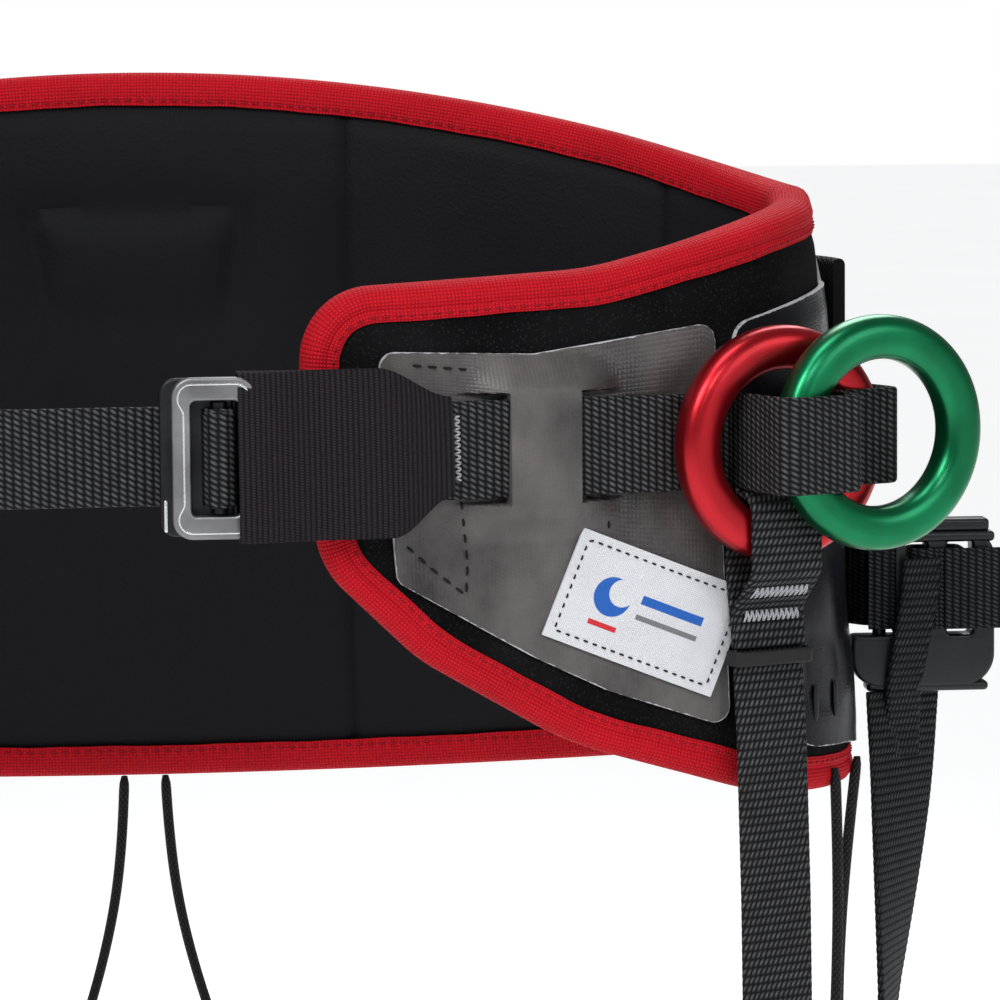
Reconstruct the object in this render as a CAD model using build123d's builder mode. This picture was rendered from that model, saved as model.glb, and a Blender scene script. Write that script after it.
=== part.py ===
from build123d import *
import os
from math import cos, hypot, pi, radians, sin, tan

# Tree climbing saddle in millimetres. +X is the wearer's left, +Y the wearer's back, +Z up.
# The origin is the middle of the waist, level with the centreline of the belt webbing.

# --- Belt plan: an oval of two end arcs and two broad arcs, flaring towards the hips.
END_CENTRE_X = 117
END_RADIUS = 70
BROAD_OFFSET = 332
CENTRE_SPAN = hypot(END_CENTRE_X, BROAD_OFFSET)
BROAD_RADIUS = END_RADIUS + CENTRE_SPAN
FLARE = 0.07
BLANK_TOP = 110
BLANK_BOTTOM = -125
FAR_X = 230
REACH_Y = 130

# --- Layers, as depths in from the outer face of the belt.
COVER_DEPTH = 2.0
CORE_DEPTH = 10.0
LINING_DEPTH = 12.0
BINDING_START = 1.0
BINDING_END = 11.0
BINDING_WIDTH = 9.5
PANEL_THICKNESS = 1.2
REAR_PANEL_THICKNESS = 1.5

# --- Webbing.
WEB_WIDTH = 25
WEB_THICKNESS = 2.0
WEB_LIFT = 5.5
LOOP_WIDTH = 21

# --- Load rings, seen square on in a plane turned towards the hip.
RING_YAW = 24
RING_MEAN_RADIUS = 24.75
RING_RADIAL = 11.5
RING_AXIAL = 10.0
RING_EDGE = 3.6
RED_CENTRE = (164.6, -69.0, -1.0)
GREEN_SHIFT = 22.0
GREEN_LIFT = 12.6
GREEN_RISE = 2.5
STRAP_SHIFT = -2.0

# --- Leg loops.
THIGH_CENTRE = (100, 0)
THIGH_RADIUS = 84
PAD_THICKNESS = 8
PAD_TOP = -245
PAD_BOTTOM = -335
PAD_START = -75
PAD_SWEEP = 235
THIGH_BINDING = 8
LEG_WEB_LEVEL = -290
LEG_BUCKLE_ANGLE = -118

# --- Elastic cords.
CORD_DIAMETER = 3.0

os.makedirs("parts", exist_ok=True)


def save(piece, name):
    """Label one finished piece and write its STEP file."""
    piece.part.label = name
    export_step(piece.part, f"parts/{name}.step")


def save_pair(piece, name):
    """Write the wearer's left piece, then its mirror image for the right."""
    save(piece, f"{name}_left")
    with BuildPart() as twin:
        add(mirror(piece.part, about=Plane.YZ))
    save(twin, f"{name}_right")


# %% Plan geometry

def belt_point(angle, lift=0.0):
    """Point on the outer face, by the angle of its normal from the front, lifted off the face."""
    normal = (sin(radians(angle)), -cos(radians(angle)))
    if normal[0] > END_CENTRE_X / CENTRE_SPAN:
        reach = END_RADIUS + lift
        return (END_CENTRE_X + reach * normal[0], reach * normal[1])
    reach = BROAD_RADIUS + lift
    return (reach * normal[0], BROAD_OFFSET + reach * normal[1])


def ring_point(along, out):
    """Plan point by its distance along the red ring's plane and out from it."""
    yaw = radians(RING_YAW)
    x = RED_CENTRE[0] + along * cos(yaw) + out * sin(yaw)
    y = RED_CENTRE[1] + along * sin(yaw) - out * cos(yaw)
    return (x, y)


def belt_oval(depth, level):
    """The belt's oval at one height, inset from the outer face by a depth."""
    end = END_RADIUS - depth - FLARE * level
    broad = end + CENTRE_SPAN
    join_x = END_CENTRE_X * (1 + end / CENTRE_SPAN)
    join_y = BROAD_OFFSET * end / CENTRE_SPAN
    with BuildSketch(Plane.XY.offset(level)) as outline:
        with BuildLine():
            ThreePointArc((-join_x, -join_y), (0, BROAD_OFFSET - broad), (join_x, -join_y))
            ThreePointArc((join_x, -join_y), (END_CENTRE_X + end, 0), (join_x, join_y))
            ThreePointArc((join_x, join_y), (0, broad - BROAD_OFFSET), (-join_x, join_y))
            ThreePointArc((-join_x, join_y), (-END_CENTRE_X - end, 0), (-join_x, -join_y))
        make_face()
    return outline.sketch


def belt_band(outer_depth, inner_depth):
    """Add a flared band of the belt between two depths, over the blank's whole height."""
    outer = [belt_oval(outer_depth, level) for level in (BLANK_BOTTOM, BLANK_TOP)]
    inner = [belt_oval(inner_depth, level) for level in (BLANK_BOTTOM, BLANK_TOP)]
    loft(outer, ruled=True)
    loft(inner, ruled=True, mode=Mode.SUBTRACT)


def wing_outline(inset):
    """Front outline of both wings, seen from the front, inset for what lies inside the binding."""
    with BuildSketch(Plane.XZ) as outline:
        with BuildLine():
            edge = FilletPolyline(
                (FAR_X, 72), (118, 44.5), (42, 40.5), (40, -5), (47, -31),
                (71, -54), (110, -77), (165, -94.5), (FAR_X, -103),
                radius=[90, 19, 30, 24, 50, 90, 120],
            )
            Line(edge @ 1, edge @ 0)
        make_face()
        if inset:
            offset(amount=-inset, mode=Mode.REPLACE)
        mirror(about=Plane.YZ)
    return outline.sketch


def back_outline(inset):
    """Back outline of the belt, high in the middle, inset for what lies inside the binding."""
    with BuildSketch(Plane.XZ) as outline:
        with BuildLine():
            ThreePointArc((-FAR_X, 43.6), (0, 95), (FAR_X, 43.6))
            Line((FAR_X, 43.6), (FAR_X, -92))
            ThreePointArc((FAR_X, -92), (0, -110), (-FAR_X, -92))
            Line((-FAR_X, -92), (-FAR_X, 43.6))
        make_face()
        if inset:
            offset(amount=-inset, mode=Mode.REPLACE)
    return outline.sketch


def outline_block(inset):
    """The region kept by the belt's outline: wings to the front, one panel to the back."""
    with BuildPart() as block:
        extrude(wing_outline(inset), amount=REACH_Y)
        extrude(back_outline(inset), amount=-REACH_Y)
    return block.part


def strip(plane, points, radii, thickness, width):
    """Strap drawn edge-on in a plane as a filleted centreline, then given its width both ways."""
    with BuildPart() as strap:
        with BuildSketch(plane):
            with BuildLine() as centre:
                FilletPolyline(*points, radius=radii)
            trace(centre.line, line_width=thickness)
        extrude(amount=width / 2, both=True)
    return strap.part


def ring_at(along, out, rise):
    """A load ring of rounded section, by its centre relative to the red ring's."""
    yaw = radians(RING_YAW)
    centre = (*ring_point(along, out), RED_CENTRE[2] + rise)
    section = Plane(origin=centre, x_dir=(cos(yaw), sin(yaw), 0), z_dir=(0, 0, -1))
    with BuildPart() as ring:
        with BuildSketch(section):
            with Locations((RING_MEAN_RADIUS, 0)):
                RectangleRounded(RING_RADIAL, RING_AXIAL, RING_EDGE)
        revolve(axis=Axis(centre, (sin(yaw), -cos(yaw), 0)))
    return ring


def cord_tube(points, name):
    """Elastic cord along straight runs joined by the largest arcs that they allow."""
    corners = [Vector(*point) for point in points]
    radii = []
    for before, corner, after in zip(corners, corners[1:], corners[2:]):
        half_turn = radians((corner - before).get_angle(after - corner)) / 2
        shorter = min((corner - before).length, (after - corner).length)
        radii.append(0.45 * shorter / tan(half_turn))
    with BuildPart() as cord:
        with BuildLine() as route:
            FilletPolyline(*points, radius=radii)
        with BuildSketch(Plane(origin=route.line @ 0, z_dir=route.line % 0)):
            Circle(CORD_DIAMETER / 2)
        sweep(path=route.line)
    length = sum(edge.length for edge in route.edges())
    expected = pi * CORD_DIAMETER**2 / 4 * length
    print(name, "radii", [round(radius) for radius in radii], "length", round(length, 1))
    print(name, "volume over section times length", round(cord.part.volume / expected, 4))
    save_pair(cord, name)


# %% Belt padding

inner_region = outline_block(BINDING_WIDTH)
whole_region = outline_block(0)

with BuildPart() as pad_core:
    belt_band(COVER_DEPTH, CORE_DEPTH)
    add(inner_region, mode=Mode.INTERSECT)
save(pad_core, "pad_core")

with BuildPart() as outer_cover:
    belt_band(0, COVER_DEPTH)
    add(inner_region, mode=Mode.INTERSECT)
save(outer_cover, "outer_cover")

with BuildPart() as pad_lining:
    belt_band(CORE_DEPTH, LINING_DEPTH)
    add(inner_region, mode=Mode.INTERSECT)
save(pad_lining, "pad_lining")

with BuildPart() as edge_binding:
    belt_band(BINDING_START, BINDING_END)
    add(whole_region, mode=Mode.INTERSECT)
    add(inner_region, mode=Mode.SUBTRACT)
save(edge_binding, "edge_binding")

# %% Panels on the outer face

with BuildPart() as panel_region:
    with BuildSketch(Plane.XZ):
        with BuildLine():
            FilletPolyline(
                (60, 25), (100, 23.5), (148, 30), (151, -75), (118, -63), (98, -53), (64, -33),
                radius=4, close=True,
            )
        make_face()
    extrude(amount=REACH_Y)

with BuildPart() as side_panel:
    belt_band(-PANEL_THICKNESS, 0)
    add(panel_region.part, mode=Mode.INTERSECT)
save_pair(side_panel, "side_panel")

with BuildPart() as rear_region:
    with BuildSketch(Plane.XZ):
        with BuildLine():
            front_edge = FilletPolyline(
                (FAR_X, 44), (190, 38.5), (153.5, 29), (153.5, -60), (172, -83), (FAR_X, -92),
                radius=[40, 6, 14, 14],
            )
            Line(front_edge @ 1, front_edge @ 0)
        make_face()
    extrude(amount=REACH_Y)
    with BuildSketch(Plane.XZ):
        with BuildLine():
            FilletPolyline((FAR_X, 44), (118, 52), (118, -88), (FAR_X, -92), radius=16, close=True)
        make_face()
    extrude(amount=-REACH_Y)

with BuildPart() as rear_panel:
    belt_band(-REAR_PANEL_THICKNESS, 0)
    add(rear_region.part, mode=Mode.INTERSECT)
    with BuildSketch(Plane.XZ):
        with Locations((175.5, -72), (182, -72)):
            SlotOverall(10, 2.4, rotation=90)
    extrude(amount=REACH_Y, mode=Mode.SUBTRACT)
save_pair(rear_panel, "rear_panel")

with BuildPart() as size_label:
    belt_band(-REAR_PANEL_THICKNESS - 1.1, -REAR_PANEL_THICKNESS - 0.3)
    with BuildSketch(Plane.XZ):
        with Locations((128.5, -43.7)):
            Rectangle(48, 29, rotation=-22.9)
    extrude(amount=REACH_Y, mode=Mode.INTERSECT)
save(size_label, "size_label")

# %% Belt webbing, woven through both load rings

RING_WEAVE = [
    (-30, -6.6), (-11.3, -6.4), (-11.3, 21.7), (11.0, 21.7), (12.0, 6.4), (32.4, 6.4), (32.4, -9.0),
]
WEAVE_RADII = [30, 3, 4, 4, 3, 3.5, 20]


def webbing_route(start):
    """Plan route of one side's belt webbing, from its front end to where it meets the back strap."""
    along_face = [belt_point(angle, WEB_LIFT) for angle in (7, 11, 15)]
    through_rings = [ring_point(*spot) for spot in RING_WEAVE]
    onto_hip = [belt_point(66, 5), belt_point(80, 4.2)]
    return start + along_face + through_rings + onto_hip


BUCKLE_END = [(31, -96), belt_point(5.2, WEB_LIFT)]
ACROSS_END = [(-16.5, -91), (6, -91), (28, -92.6)]
SIDE_RADII = [200, 200, 120] + WEAVE_RADII + [30]

left_strap = strip(Plane.XY, webbing_route(BUCKLE_END), [60] + SIDE_RADII, WEB_THICKNESS, WEB_WIDTH)
with BuildPart() as belt_webbing_left:
    add(left_strap)
save(belt_webbing_left, "belt_webbing_left")

right_strap = strip(Plane.XY, webbing_route(ACROSS_END), [60, 60] + SIDE_RADII, WEB_THICKNESS, WEB_WIDTH)
with BuildPart() as belt_webbing_right:
    add(mirror(right_strap, about=Plane.YZ))
save(belt_webbing_right, "belt_webbing_right")

# %% Load rings

red_ring = ring_at(0, 0, 0)
save_pair(red_ring, "red_ring")

green_ring = ring_at(GREEN_SHIFT, GREEN_LIFT, GREEN_RISE)
save_pair(green_ring, "green_ring")

# %% Webbing tunnel, the raised strip of panel that covers the webbing between its two slots

tunnel_x, tunnel_y = belt_point(13.8)
tunnel_plane = Plane(
    origin=(tunnel_x, tunnel_y, 0),
    x_dir=(0, 0, 1),
    z_dir=(cos(radians(13.8)), sin(radians(13.8)), 0),
)
with BuildPart() as webbing_tunnel:
    with BuildSketch(tunnel_plane):
        with BuildLine():
            FilletPolyline((-19, 3.0), (-14.5, 7.6), (14.5, 7.6), (19, 0.9), radius=1.5)
        trace(line_width=1.0)
    extrude(amount=9, both=True)
save_pair(webbing_tunnel, "webbing_tunnel")

# %% Back strap, the wide load strap behind the hips

with BuildPart() as back_strap:
    belt_band(-7.2, -3.6)
    with BuildSketch(Plane.XZ):
        with Locations((0, 15)):
            RectangleRounded(2 * FAR_X, 56, 2)
    extrude(amount=-REACH_Y, mode=Mode.INTERSECT)
save(back_strap, "back_strap")

# %% Front buckle: a fixed front frame, and a slider made of rear frame, bar and webbing wrap

FRAME_BACK_Y = -96.0
FRAME_THICKNESS = 4.0
BAR_PLACE = (19.8, -96.5)

with BuildPart() as buckle_front_frame:
    with BuildSketch(Plane.XZ.offset(-FRAME_BACK_Y)):
        with Locations((18.6, 0)):
            RectangleRounded(21.2, 40.4, 5)
        with Locations((18.8, 0)):
            RectangleRounded(12.2, 28.8, 1.5, mode=Mode.SUBTRACT)
    extrude(amount=FRAME_THICKNESS)
    front_face = buckle_front_frame.faces().sort_by(Axis.Y)[0]
    fillet(front_face.edges(), radius=1.1)
save(buckle_front_frame, "buckle_front_frame")

with BuildPart() as buckle_rear_frame:
    with BuildSketch(Plane.XZ.offset(-FRAME_BACK_Y - 3.5)):
        with Locations((14.2, 0)):
            RectangleRounded(18.4, 39.6, 4)
        with Locations((19.6, 0)):
            Rectangle(9.6, 25.6, mode=Mode.SUBTRACT)
    extrude(amount=3.2)
save(buckle_rear_frame, "buckle_rear_frame")

with BuildPart() as buckle_bar:
    with BuildSketch(Plane.XY):
        with Locations(BAR_PLACE):
            Circle(2.2)
    extrude(amount=14.0, both=True)
save(buckle_bar, "buckle_bar")

with BuildPart() as bar_wrap:
    with BuildSketch(Plane.XY):
        with Locations(BAR_PLACE):
            Circle(4.2)
            Circle(2.4, mode=Mode.SUBTRACT)
    extrude(amount=WEB_WIDTH / 2, both=True)
save(bar_wrap, "bar_wrap")

# %% Elastic sleeve that gathers the webbing next to the buckle

SLEEVE_HEIGHT = 43
with BuildPart() as elastic_sleeve:
    with BuildSketch(Plane.XY):
        with BuildLine():
            FilletPolyline(
                belt_point(3.3, 1), belt_point(3.3, 12.6), belt_point(4.6, 12.6), belt_point(6.8, 8.6),
                belt_point(10.6, 8.6), belt_point(10.6, 3.5), belt_point(5.4, 3.5),
                radius=0.6, close=True,
            )
        make_face()
    extrude(amount=SLEEVE_HEIGHT / 2, both=True)
    with BuildSketch(Plane.XY):
        with BuildLine():
            FilletPolyline(
                belt_point(3.1, 2.2), belt_point(3.1, 11.5), belt_point(4.3, 11.5), belt_point(6.2, 7.4),
                belt_point(10.8, 7.4), belt_point(10.8, 4.35), belt_point(5.2, 4.35),
                radius=0.4, close=True,
            )
        make_face()
    extrude(amount=13.2, both=True, mode=Mode.SUBTRACT)
    with BuildSketch(Plane.XY):
        with BuildLine():
            Polyline(
                belt_point(3.1, 5), belt_point(3.1, 11.5), belt_point(4.2, 11.5), belt_point(4.2, 5),
                close=True,
            )
        make_face()
    extrude(amount=20.6, both=True, mode=Mode.SUBTRACT)
save(elastic_sleeve, "elastic_sleeve")

# %% Side strap and adjuster

ADJUSTER_MIDDLE_Z = -54.5
SIDE_STRAP_Z = -48.5
ADJUSTER_BACK_Y = 12.5
ADJUSTER_DEPTH = 8.5
ADJUSTER_BAR_X = 203.5
WINDOW_HEIGHT = 26
side_strap_points = [
    belt_point(128, 8.5), belt_point(116, 8.5), (195.4, 20.0), (200.5, 12.9), (207.3, 12.9), (207.3, 4.2),
    (199.9, 4.2),
]
side_strap_solid = strip(
    Plane.XY.offset(SIDE_STRAP_Z), side_strap_points, [30, 20, 4, 2, 2], 1.6, 22.5)
with BuildPart() as side_strap:
    add(side_strap_solid)
save_pair(side_strap, "side_strap")

with BuildPart() as adjuster:
    with BuildSketch(Plane.XZ.offset(-ADJUSTER_BACK_Y)):
        with Locations((215.2, ADJUSTER_MIDDLE_Z)):
            RectangleRounded(40, 43, 7)
        with Locations((201, SIDE_STRAP_Z)):
            Rectangle(16, WINDOW_HEIGHT, mode=Mode.SUBTRACT)
        with Locations((212.4, SIDE_STRAP_Z)):
            RectangleRounded(7.4, WINDOW_HEIGHT, 1, mode=Mode.SUBTRACT)
        with Locations((225.4, SIDE_STRAP_Z)):
            RectangleRounded(7.0, WINDOW_HEIGHT, 1, mode=Mode.SUBTRACT)
    extrude(amount=ADJUSTER_DEPTH)
    with BuildSketch(Plane.XZ.offset(-10.8)):
        with Locations((ADJUSTER_BAR_X, SIDE_STRAP_Z)):
            Rectangle(3.0, WINDOW_HEIGHT + 0.4)
    extrude(amount=4.6)
save_pair(adjuster, "adjuster")

tail_solid = strip(
    Plane.XY.offset(SIDE_STRAP_Z), [(220.6, 2.2), (230, 2.2), (241, 3.0), (249, 8)], [20, 20], 1.6, 22.5)
with BuildPart() as adjuster_tail:
    add(tail_solid)
save_pair(adjuster_tail, "adjuster_tail")

# %% Leg straps, each looped over the bottom of its red ring and stitched back onto itself

ring_turn = radians(RING_YAW)
strap_origin = (*ring_point(STRAP_SHIFT, 0), 0)
strap_x = (sin(ring_turn), -cos(ring_turn), 0)
strap_normal = (-cos(ring_turn), -sin(ring_turn), 0)
strap_plane = Plane(origin=strap_origin, x_dir=strap_x, z_dir=strap_normal)
with BuildPart() as leg_strap:
    with BuildSketch(strap_plane):
        with BuildLine() as loop_line:
            FilletPolyline(
                (-1.3, -54), (-2.9, -44), (6.4, -34), (6.4, -13.9), (-6.4, -13.9), (-6.4, -28),
                radius=[6, 5, 5, 5],
            )
        trace(loop_line.line, line_width=1.95)
        with BuildLine() as fall_line:
            FilletPolyline(
                (-6.4, -24), (-6.4, -34), (-3.2, -54), (-1.0, -80), (0.8, -120), (2.0, -180),
                (4.6, -236), (4.6, -304),
                radius=[8, 30, 80, 120, 120, 60],
            )
        trace(fall_line.line, line_width=1.95)
    extrude(amount=LOOP_WIDTH / 2, both=True)
save_pair(leg_strap, "leg_strap")

keeper_origin = (*ring_point(STRAP_SHIFT, 0), -58.5)
keeper_plane = Plane(origin=keeper_origin, x_dir=(cos(ring_turn), sin(ring_turn), 0), z_dir=(0, 0, 1))
with BuildPart() as strap_keeper:
    with BuildSketch(keeper_plane):
        with Locations((0, 2.1)):
            RectangleRounded(25, 6.6, 1)
            RectangleRounded(22.4, 4.8, 0.6, mode=Mode.SUBTRACT)
    extrude(amount=4)
save_pair(strap_keeper, "strap_keeper")

# %% Leg loops


def thigh_sector(radius, thickness, start, sweep_angle):
    """Plan of a curved wall round the thigh, by its middle radius and its range of angle."""
    with BuildSketch(Plane.XY) as wall:
        with BuildLine():
            CenterArc(THIGH_CENTRE, radius, start, sweep_angle)
        trace(line_width=thickness)
    return wall.sketch


PAD_HEIGHT = PAD_TOP - PAD_BOTTOM
PAD_MIDDLE = THIGH_RADIUS + PAD_THICKNESS / 2
END_MARGIN = 5.5

pad_window = Plane.XY.offset(PAD_BOTTOM + THIGH_BINDING)
with BuildPart() as thigh_pad:
    sector = thigh_sector(PAD_MIDDLE, PAD_THICKNESS, PAD_START + END_MARGIN, PAD_SWEEP - 2 * END_MARGIN)
    extrude(pad_window * sector, amount=PAD_HEIGHT - 2 * THIGH_BINDING)
save_pair(thigh_pad, "thigh_pad")

with BuildPart() as thigh_binding:
    whole = thigh_sector(PAD_MIDDLE, PAD_THICKNESS + 0.6, PAD_START, PAD_SWEEP)
    extrude(Plane.XY.offset(PAD_BOTTOM) * whole, amount=PAD_HEIGHT)
    opening = thigh_sector(
        PAD_MIDDLE, PAD_THICKNESS + 4, PAD_START + END_MARGIN, PAD_SWEEP - 2 * END_MARGIN)
    extrude(pad_window * opening, amount=PAD_HEIGHT - 2 * THIGH_BINDING, mode=Mode.SUBTRACT)
save_pair(thigh_binding, "thigh_binding")

THIGH_WEB_INNER = THIGH_RADIUS + PAD_THICKNESS + 0.6
THIGH_WEB_OUTER = THIGH_WEB_INNER + WEB_THICKNESS
with BuildPart() as thigh_webbing:
    with BuildSketch(Plane.XY.offset(LEG_WEB_LEVEL)):
        with Locations(THIGH_CENTRE):
            Circle(THIGH_WEB_OUTER)
            Circle(THIGH_WEB_INNER, mode=Mode.SUBTRACT)
    extrude(amount=WEB_WIDTH / 2, both=True)
save_pair(thigh_webbing, "thigh_webbing")

LEG_BUCKLE_GAP = 0.4
buckle_turn = radians(LEG_BUCKLE_ANGLE)
buckle_reach = THIGH_WEB_OUTER + LEG_BUCKLE_GAP
buckle_x = THIGH_CENTRE[0] + buckle_reach * cos(buckle_turn)
buckle_y = THIGH_CENTRE[1] + buckle_reach * sin(buckle_turn)
buckle_origin = (buckle_x, buckle_y, LEG_WEB_LEVEL)
buckle_along = (-sin(buckle_turn), cos(buckle_turn), 0)
buckle_normal = (cos(buckle_turn), sin(buckle_turn), 0)
buckle_plane = Plane(origin=buckle_origin, x_dir=buckle_along, z_dir=buckle_normal)
with BuildPart() as leg_buckle:
    with BuildSketch(buckle_plane):
        RectangleRounded(34, 38, 5)
        with Locations((-7.2, 0), (7.2, 0)):
            RectangleRounded(9, 27, 1.2, mode=Mode.SUBTRACT)
    extrude(amount=3.6)
    outer_face = leg_buckle.faces().sort_by(Axis(buckle_origin, buckle_plane.z_dir))[-1]
    fillet(outer_face.outer_wire().edges(), radius=1.0)
save_pair(leg_buckle, "leg_buckle")

# %% Suspender straps, twisted as they leave the adjusters and flat against the leg loops

SUSPENDER_Y = 8
SUSPENDER_THICKNESS = 1.8
SUSPENDER_STATIONS = [
    (210, -77, 62), (209.5, -110, 48), (206.5, -160, 22), (202, -215, 5), (199.2, -245, 0),
    (197.5, -270, 0), (196.6, -303, 0),
]
with BuildPart() as leg_suspender:
    for x, z, twist in SUSPENDER_STATIONS:
        across = (sin(radians(twist)), cos(radians(twist)), 0)
        with BuildSketch(Plane(origin=(x, SUSPENDER_Y, z), x_dir=across, z_dir=(0, 0, -1))):
            Rectangle(WEB_WIDTH, SUSPENDER_THICKNESS)
    loft()
save_pair(leg_suspender, "leg_suspender")

# %% Elastic cords that hold up the leg loops

cord_tube(
    [(6, 91.6, -110.4), (6.8, 92.4, -131), (11, 92, -158), (20, 88.5, -188), (32, 83, -216), (44, 72.5, -244)],
    "rear_cord",
)
cord_tube(
    [(183.6, -39.2, -91), (184.4, -39.6, -116), (184.2, -38.6, -147), (183.0, -36.8, -180),
     (182.2, -34.6, -213), (181.6, -32.9, -244)],
    "side_cord_front",
)
cord_tube(
    [(192.6, -20.5, -91), (189.6, -22.2, -114), (187.3, -22.0, -144), (187.2, -19.5, -178),
     (187.6, -15.0, -212), (187.2, -11.5, -244)],
    "side_cord_rear",
)
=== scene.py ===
# %% [markdown]
# # A tree climbing saddle
# The CAD frame holds the saddle's real sizes and joints. Around it this lesson builds what the eye
# sees: padded fabric, bound edges, woven webbing, anodised rings, a steel buckle and elastic cords.
# Every place is worked out in millimetres, as a saddler would, and turned into metres at the end.

# %% Load the frame
import math

import bmesh
import bpy
import numpy as np
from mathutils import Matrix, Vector


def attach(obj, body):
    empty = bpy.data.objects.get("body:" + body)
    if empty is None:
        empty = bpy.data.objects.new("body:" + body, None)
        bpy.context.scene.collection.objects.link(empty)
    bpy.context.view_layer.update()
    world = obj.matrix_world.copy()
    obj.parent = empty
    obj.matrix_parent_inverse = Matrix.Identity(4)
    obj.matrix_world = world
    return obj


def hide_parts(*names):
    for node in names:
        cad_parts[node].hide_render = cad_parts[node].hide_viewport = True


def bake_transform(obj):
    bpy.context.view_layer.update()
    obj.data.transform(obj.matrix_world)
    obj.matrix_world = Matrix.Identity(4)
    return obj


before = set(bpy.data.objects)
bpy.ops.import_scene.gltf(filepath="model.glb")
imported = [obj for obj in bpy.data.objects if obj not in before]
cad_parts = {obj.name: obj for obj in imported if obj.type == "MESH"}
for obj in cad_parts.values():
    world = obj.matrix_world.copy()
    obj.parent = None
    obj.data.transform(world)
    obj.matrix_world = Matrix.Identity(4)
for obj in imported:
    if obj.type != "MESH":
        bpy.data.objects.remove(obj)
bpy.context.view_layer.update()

MM = 0.001

# %% [markdown]
# ## The belt's own coordinates
# The belt is an oval of broad and tight arcs that flares a little towards the hips. Almost every
# piece lies on it, so one function turns "so far round, so high, so far off the face" into a point.
# The alternative, modelling flat and bending with a modifier, would lose the exact fit to the frame.

# %% Points on the belt
END_CENTRE = 117.0
END_RADIUS = 70.0
BROAD_OFFSET = 332.0
SPAN = math.hypot(END_CENTRE, BROAD_OFFSET)
BROAD_RADIUS = END_RADIUS + SPAN
FLARE = 0.07
JOIN_ANGLE = math.asin(END_CENTRE / SPAN)
BROAD_RUN = BROAD_RADIUS * JOIN_ANGLE
END_RUN = END_RADIUS * (math.pi - 2 * JOIN_ANGLE)
REAR_RUN = BROAD_RUN + END_RUN
HIP_RUN = BROAD_RUN + END_RUN / 2
HALF_RUN = 2 * BROAD_RUN + END_RUN


def belt_angle(run):
    """Angle of the normal from the front: run over radius on each arc, counted from the front centre."""
    run = np.abs(run)
    side = JOIN_ANGLE + (run - BROAD_RUN) / END_RADIUS
    rear = np.pi - (HALF_RUN - run) / BROAD_RADIUS
    return np.where(run < BROAD_RUN, run / BROAD_RADIUS, np.where(run > REAR_RUN, rear, side))


def unwrap(run):
    """Carry a run past the back centre round to the other side, where it counts down from minus half."""
    run = np.asarray(run, float)
    return np.where(run > HALF_RUN, run - 2 * HALF_RUN, run)


def belt(run, z, lift):
    """Point = arc centre + (arc radius + lift - flare * z) * normal, mirrored for negative runs, in mm."""
    run, z, lift = np.broadcast_arrays(unwrap(run), np.asarray(z, float), np.asarray(lift, float))
    angle = belt_angle(run)
    hand = np.where(run < 0, -1.0, 1.0)
    rear = np.abs(run) > REAR_RUN
    broad = (np.abs(run) < BROAD_RUN) | rear
    centre_x = np.where(broad, 0.0, END_CENTRE)
    centre_y = np.where(broad, np.where(rear, -BROAD_OFFSET, BROAD_OFFSET), 0.0)
    reach = np.where(broad, BROAD_RADIUS, END_RADIUS) + lift - FLARE * z
    return np.stack([hand * (centre_x + reach * np.sin(angle)), centre_y - reach * np.cos(angle), z], -1)


def belt_normal(run):
    """Outward normal = (sin, -cos) of the belt angle, level with the floor."""
    run = unwrap(run)
    angle = belt_angle(run)
    hand = np.where(run < 0, -1.0, 1.0)
    return np.stack([hand * np.sin(angle), -np.cos(angle), np.zeros_like(angle)], -1)


def run_at(x):
    """Run along the front half at which the outer face reaches this x."""
    x = np.asarray(x, float)
    broad = BROAD_RADIUS * np.arcsin(np.clip(x / BROAD_RADIUS, -1, 1))
    tight = BROAD_RUN + END_RADIUS * (np.arcsin(np.clip((x - END_CENTRE) / END_RADIUS, -1, 1)) - JOIN_ANGLE)
    return np.where(x < END_CENTRE * (1 + END_RADIUS / SPAN), broad, tight)


print("belt girth", round(2 * HALF_RUN), "mm on its outer face")

# %% [markdown]
# ## Load ring coordinates
# Both load rings stand in planes turned 24 degrees towards the hip. Places near them read most
# plainly as "along the ring's plane" and "out from it", with the right side a mirror image.

# %% Points near the rings
RING_YAW = math.radians(24)
RED_CENTRE = np.array([164.6, -69.0, -1.0])
ALONG = np.array([math.cos(RING_YAW), math.sin(RING_YAW), 0.0])
OUT = np.array([math.sin(RING_YAW), -math.cos(RING_YAW), 0.0])
UP = np.array([0.0, 0.0, 1.0])
SIDES = {"left": 1, "right": -1}


def near_ring(along, out, z):
    """Point = red ring's centre in plan + along * ring direction + out * ring normal, at height z."""
    along, out, z = np.broadcast_arrays(*(np.asarray(v, float) for v in (along, out, z)))
    plan = RED_CENTRE + along[..., None] * ALONG + out[..., None] * OUT
    return np.concatenate([plan[..., :2], z[..., None]], -1)


def mirrored(points, hand):
    """The same points on the wearer's left for hand 1, or mirrored in x for hand -1."""
    return np.asarray(points) * np.array([hand, 1, 1])


def smooth(low, high, value):
    """Smoothstep: 0 below low, 1 above high, 3t^2 - 2t^3 between."""
    t = np.clip((value - low) / (high - low), 0, 1)
    return t * t * (3 - 2 * t)


def spline(points, count):
    """Catmull-Rom curve through the points, at count places spread by length, worked out as arrays."""
    points = np.asarray(points, float)
    padded = np.vstack([2 * points[0] - points[1], points, 2 * points[-1] - points[-2]])
    t = np.linspace(0, len(points) - 1 - 1e-9, 40 * len(points))
    i = t.astype(int)
    f = (t - i)[:, None]
    a, b, c, d = padded[i], padded[i + 1], padded[i + 2], padded[i + 3]
    curve = 0.5 * (2 * b + (c - a) * f + (2 * a - 5 * b + 4 * c - d) * f**2 + (3 * b - a - 3 * c + d) * f**3)
    return by_length(curve, count)


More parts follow.
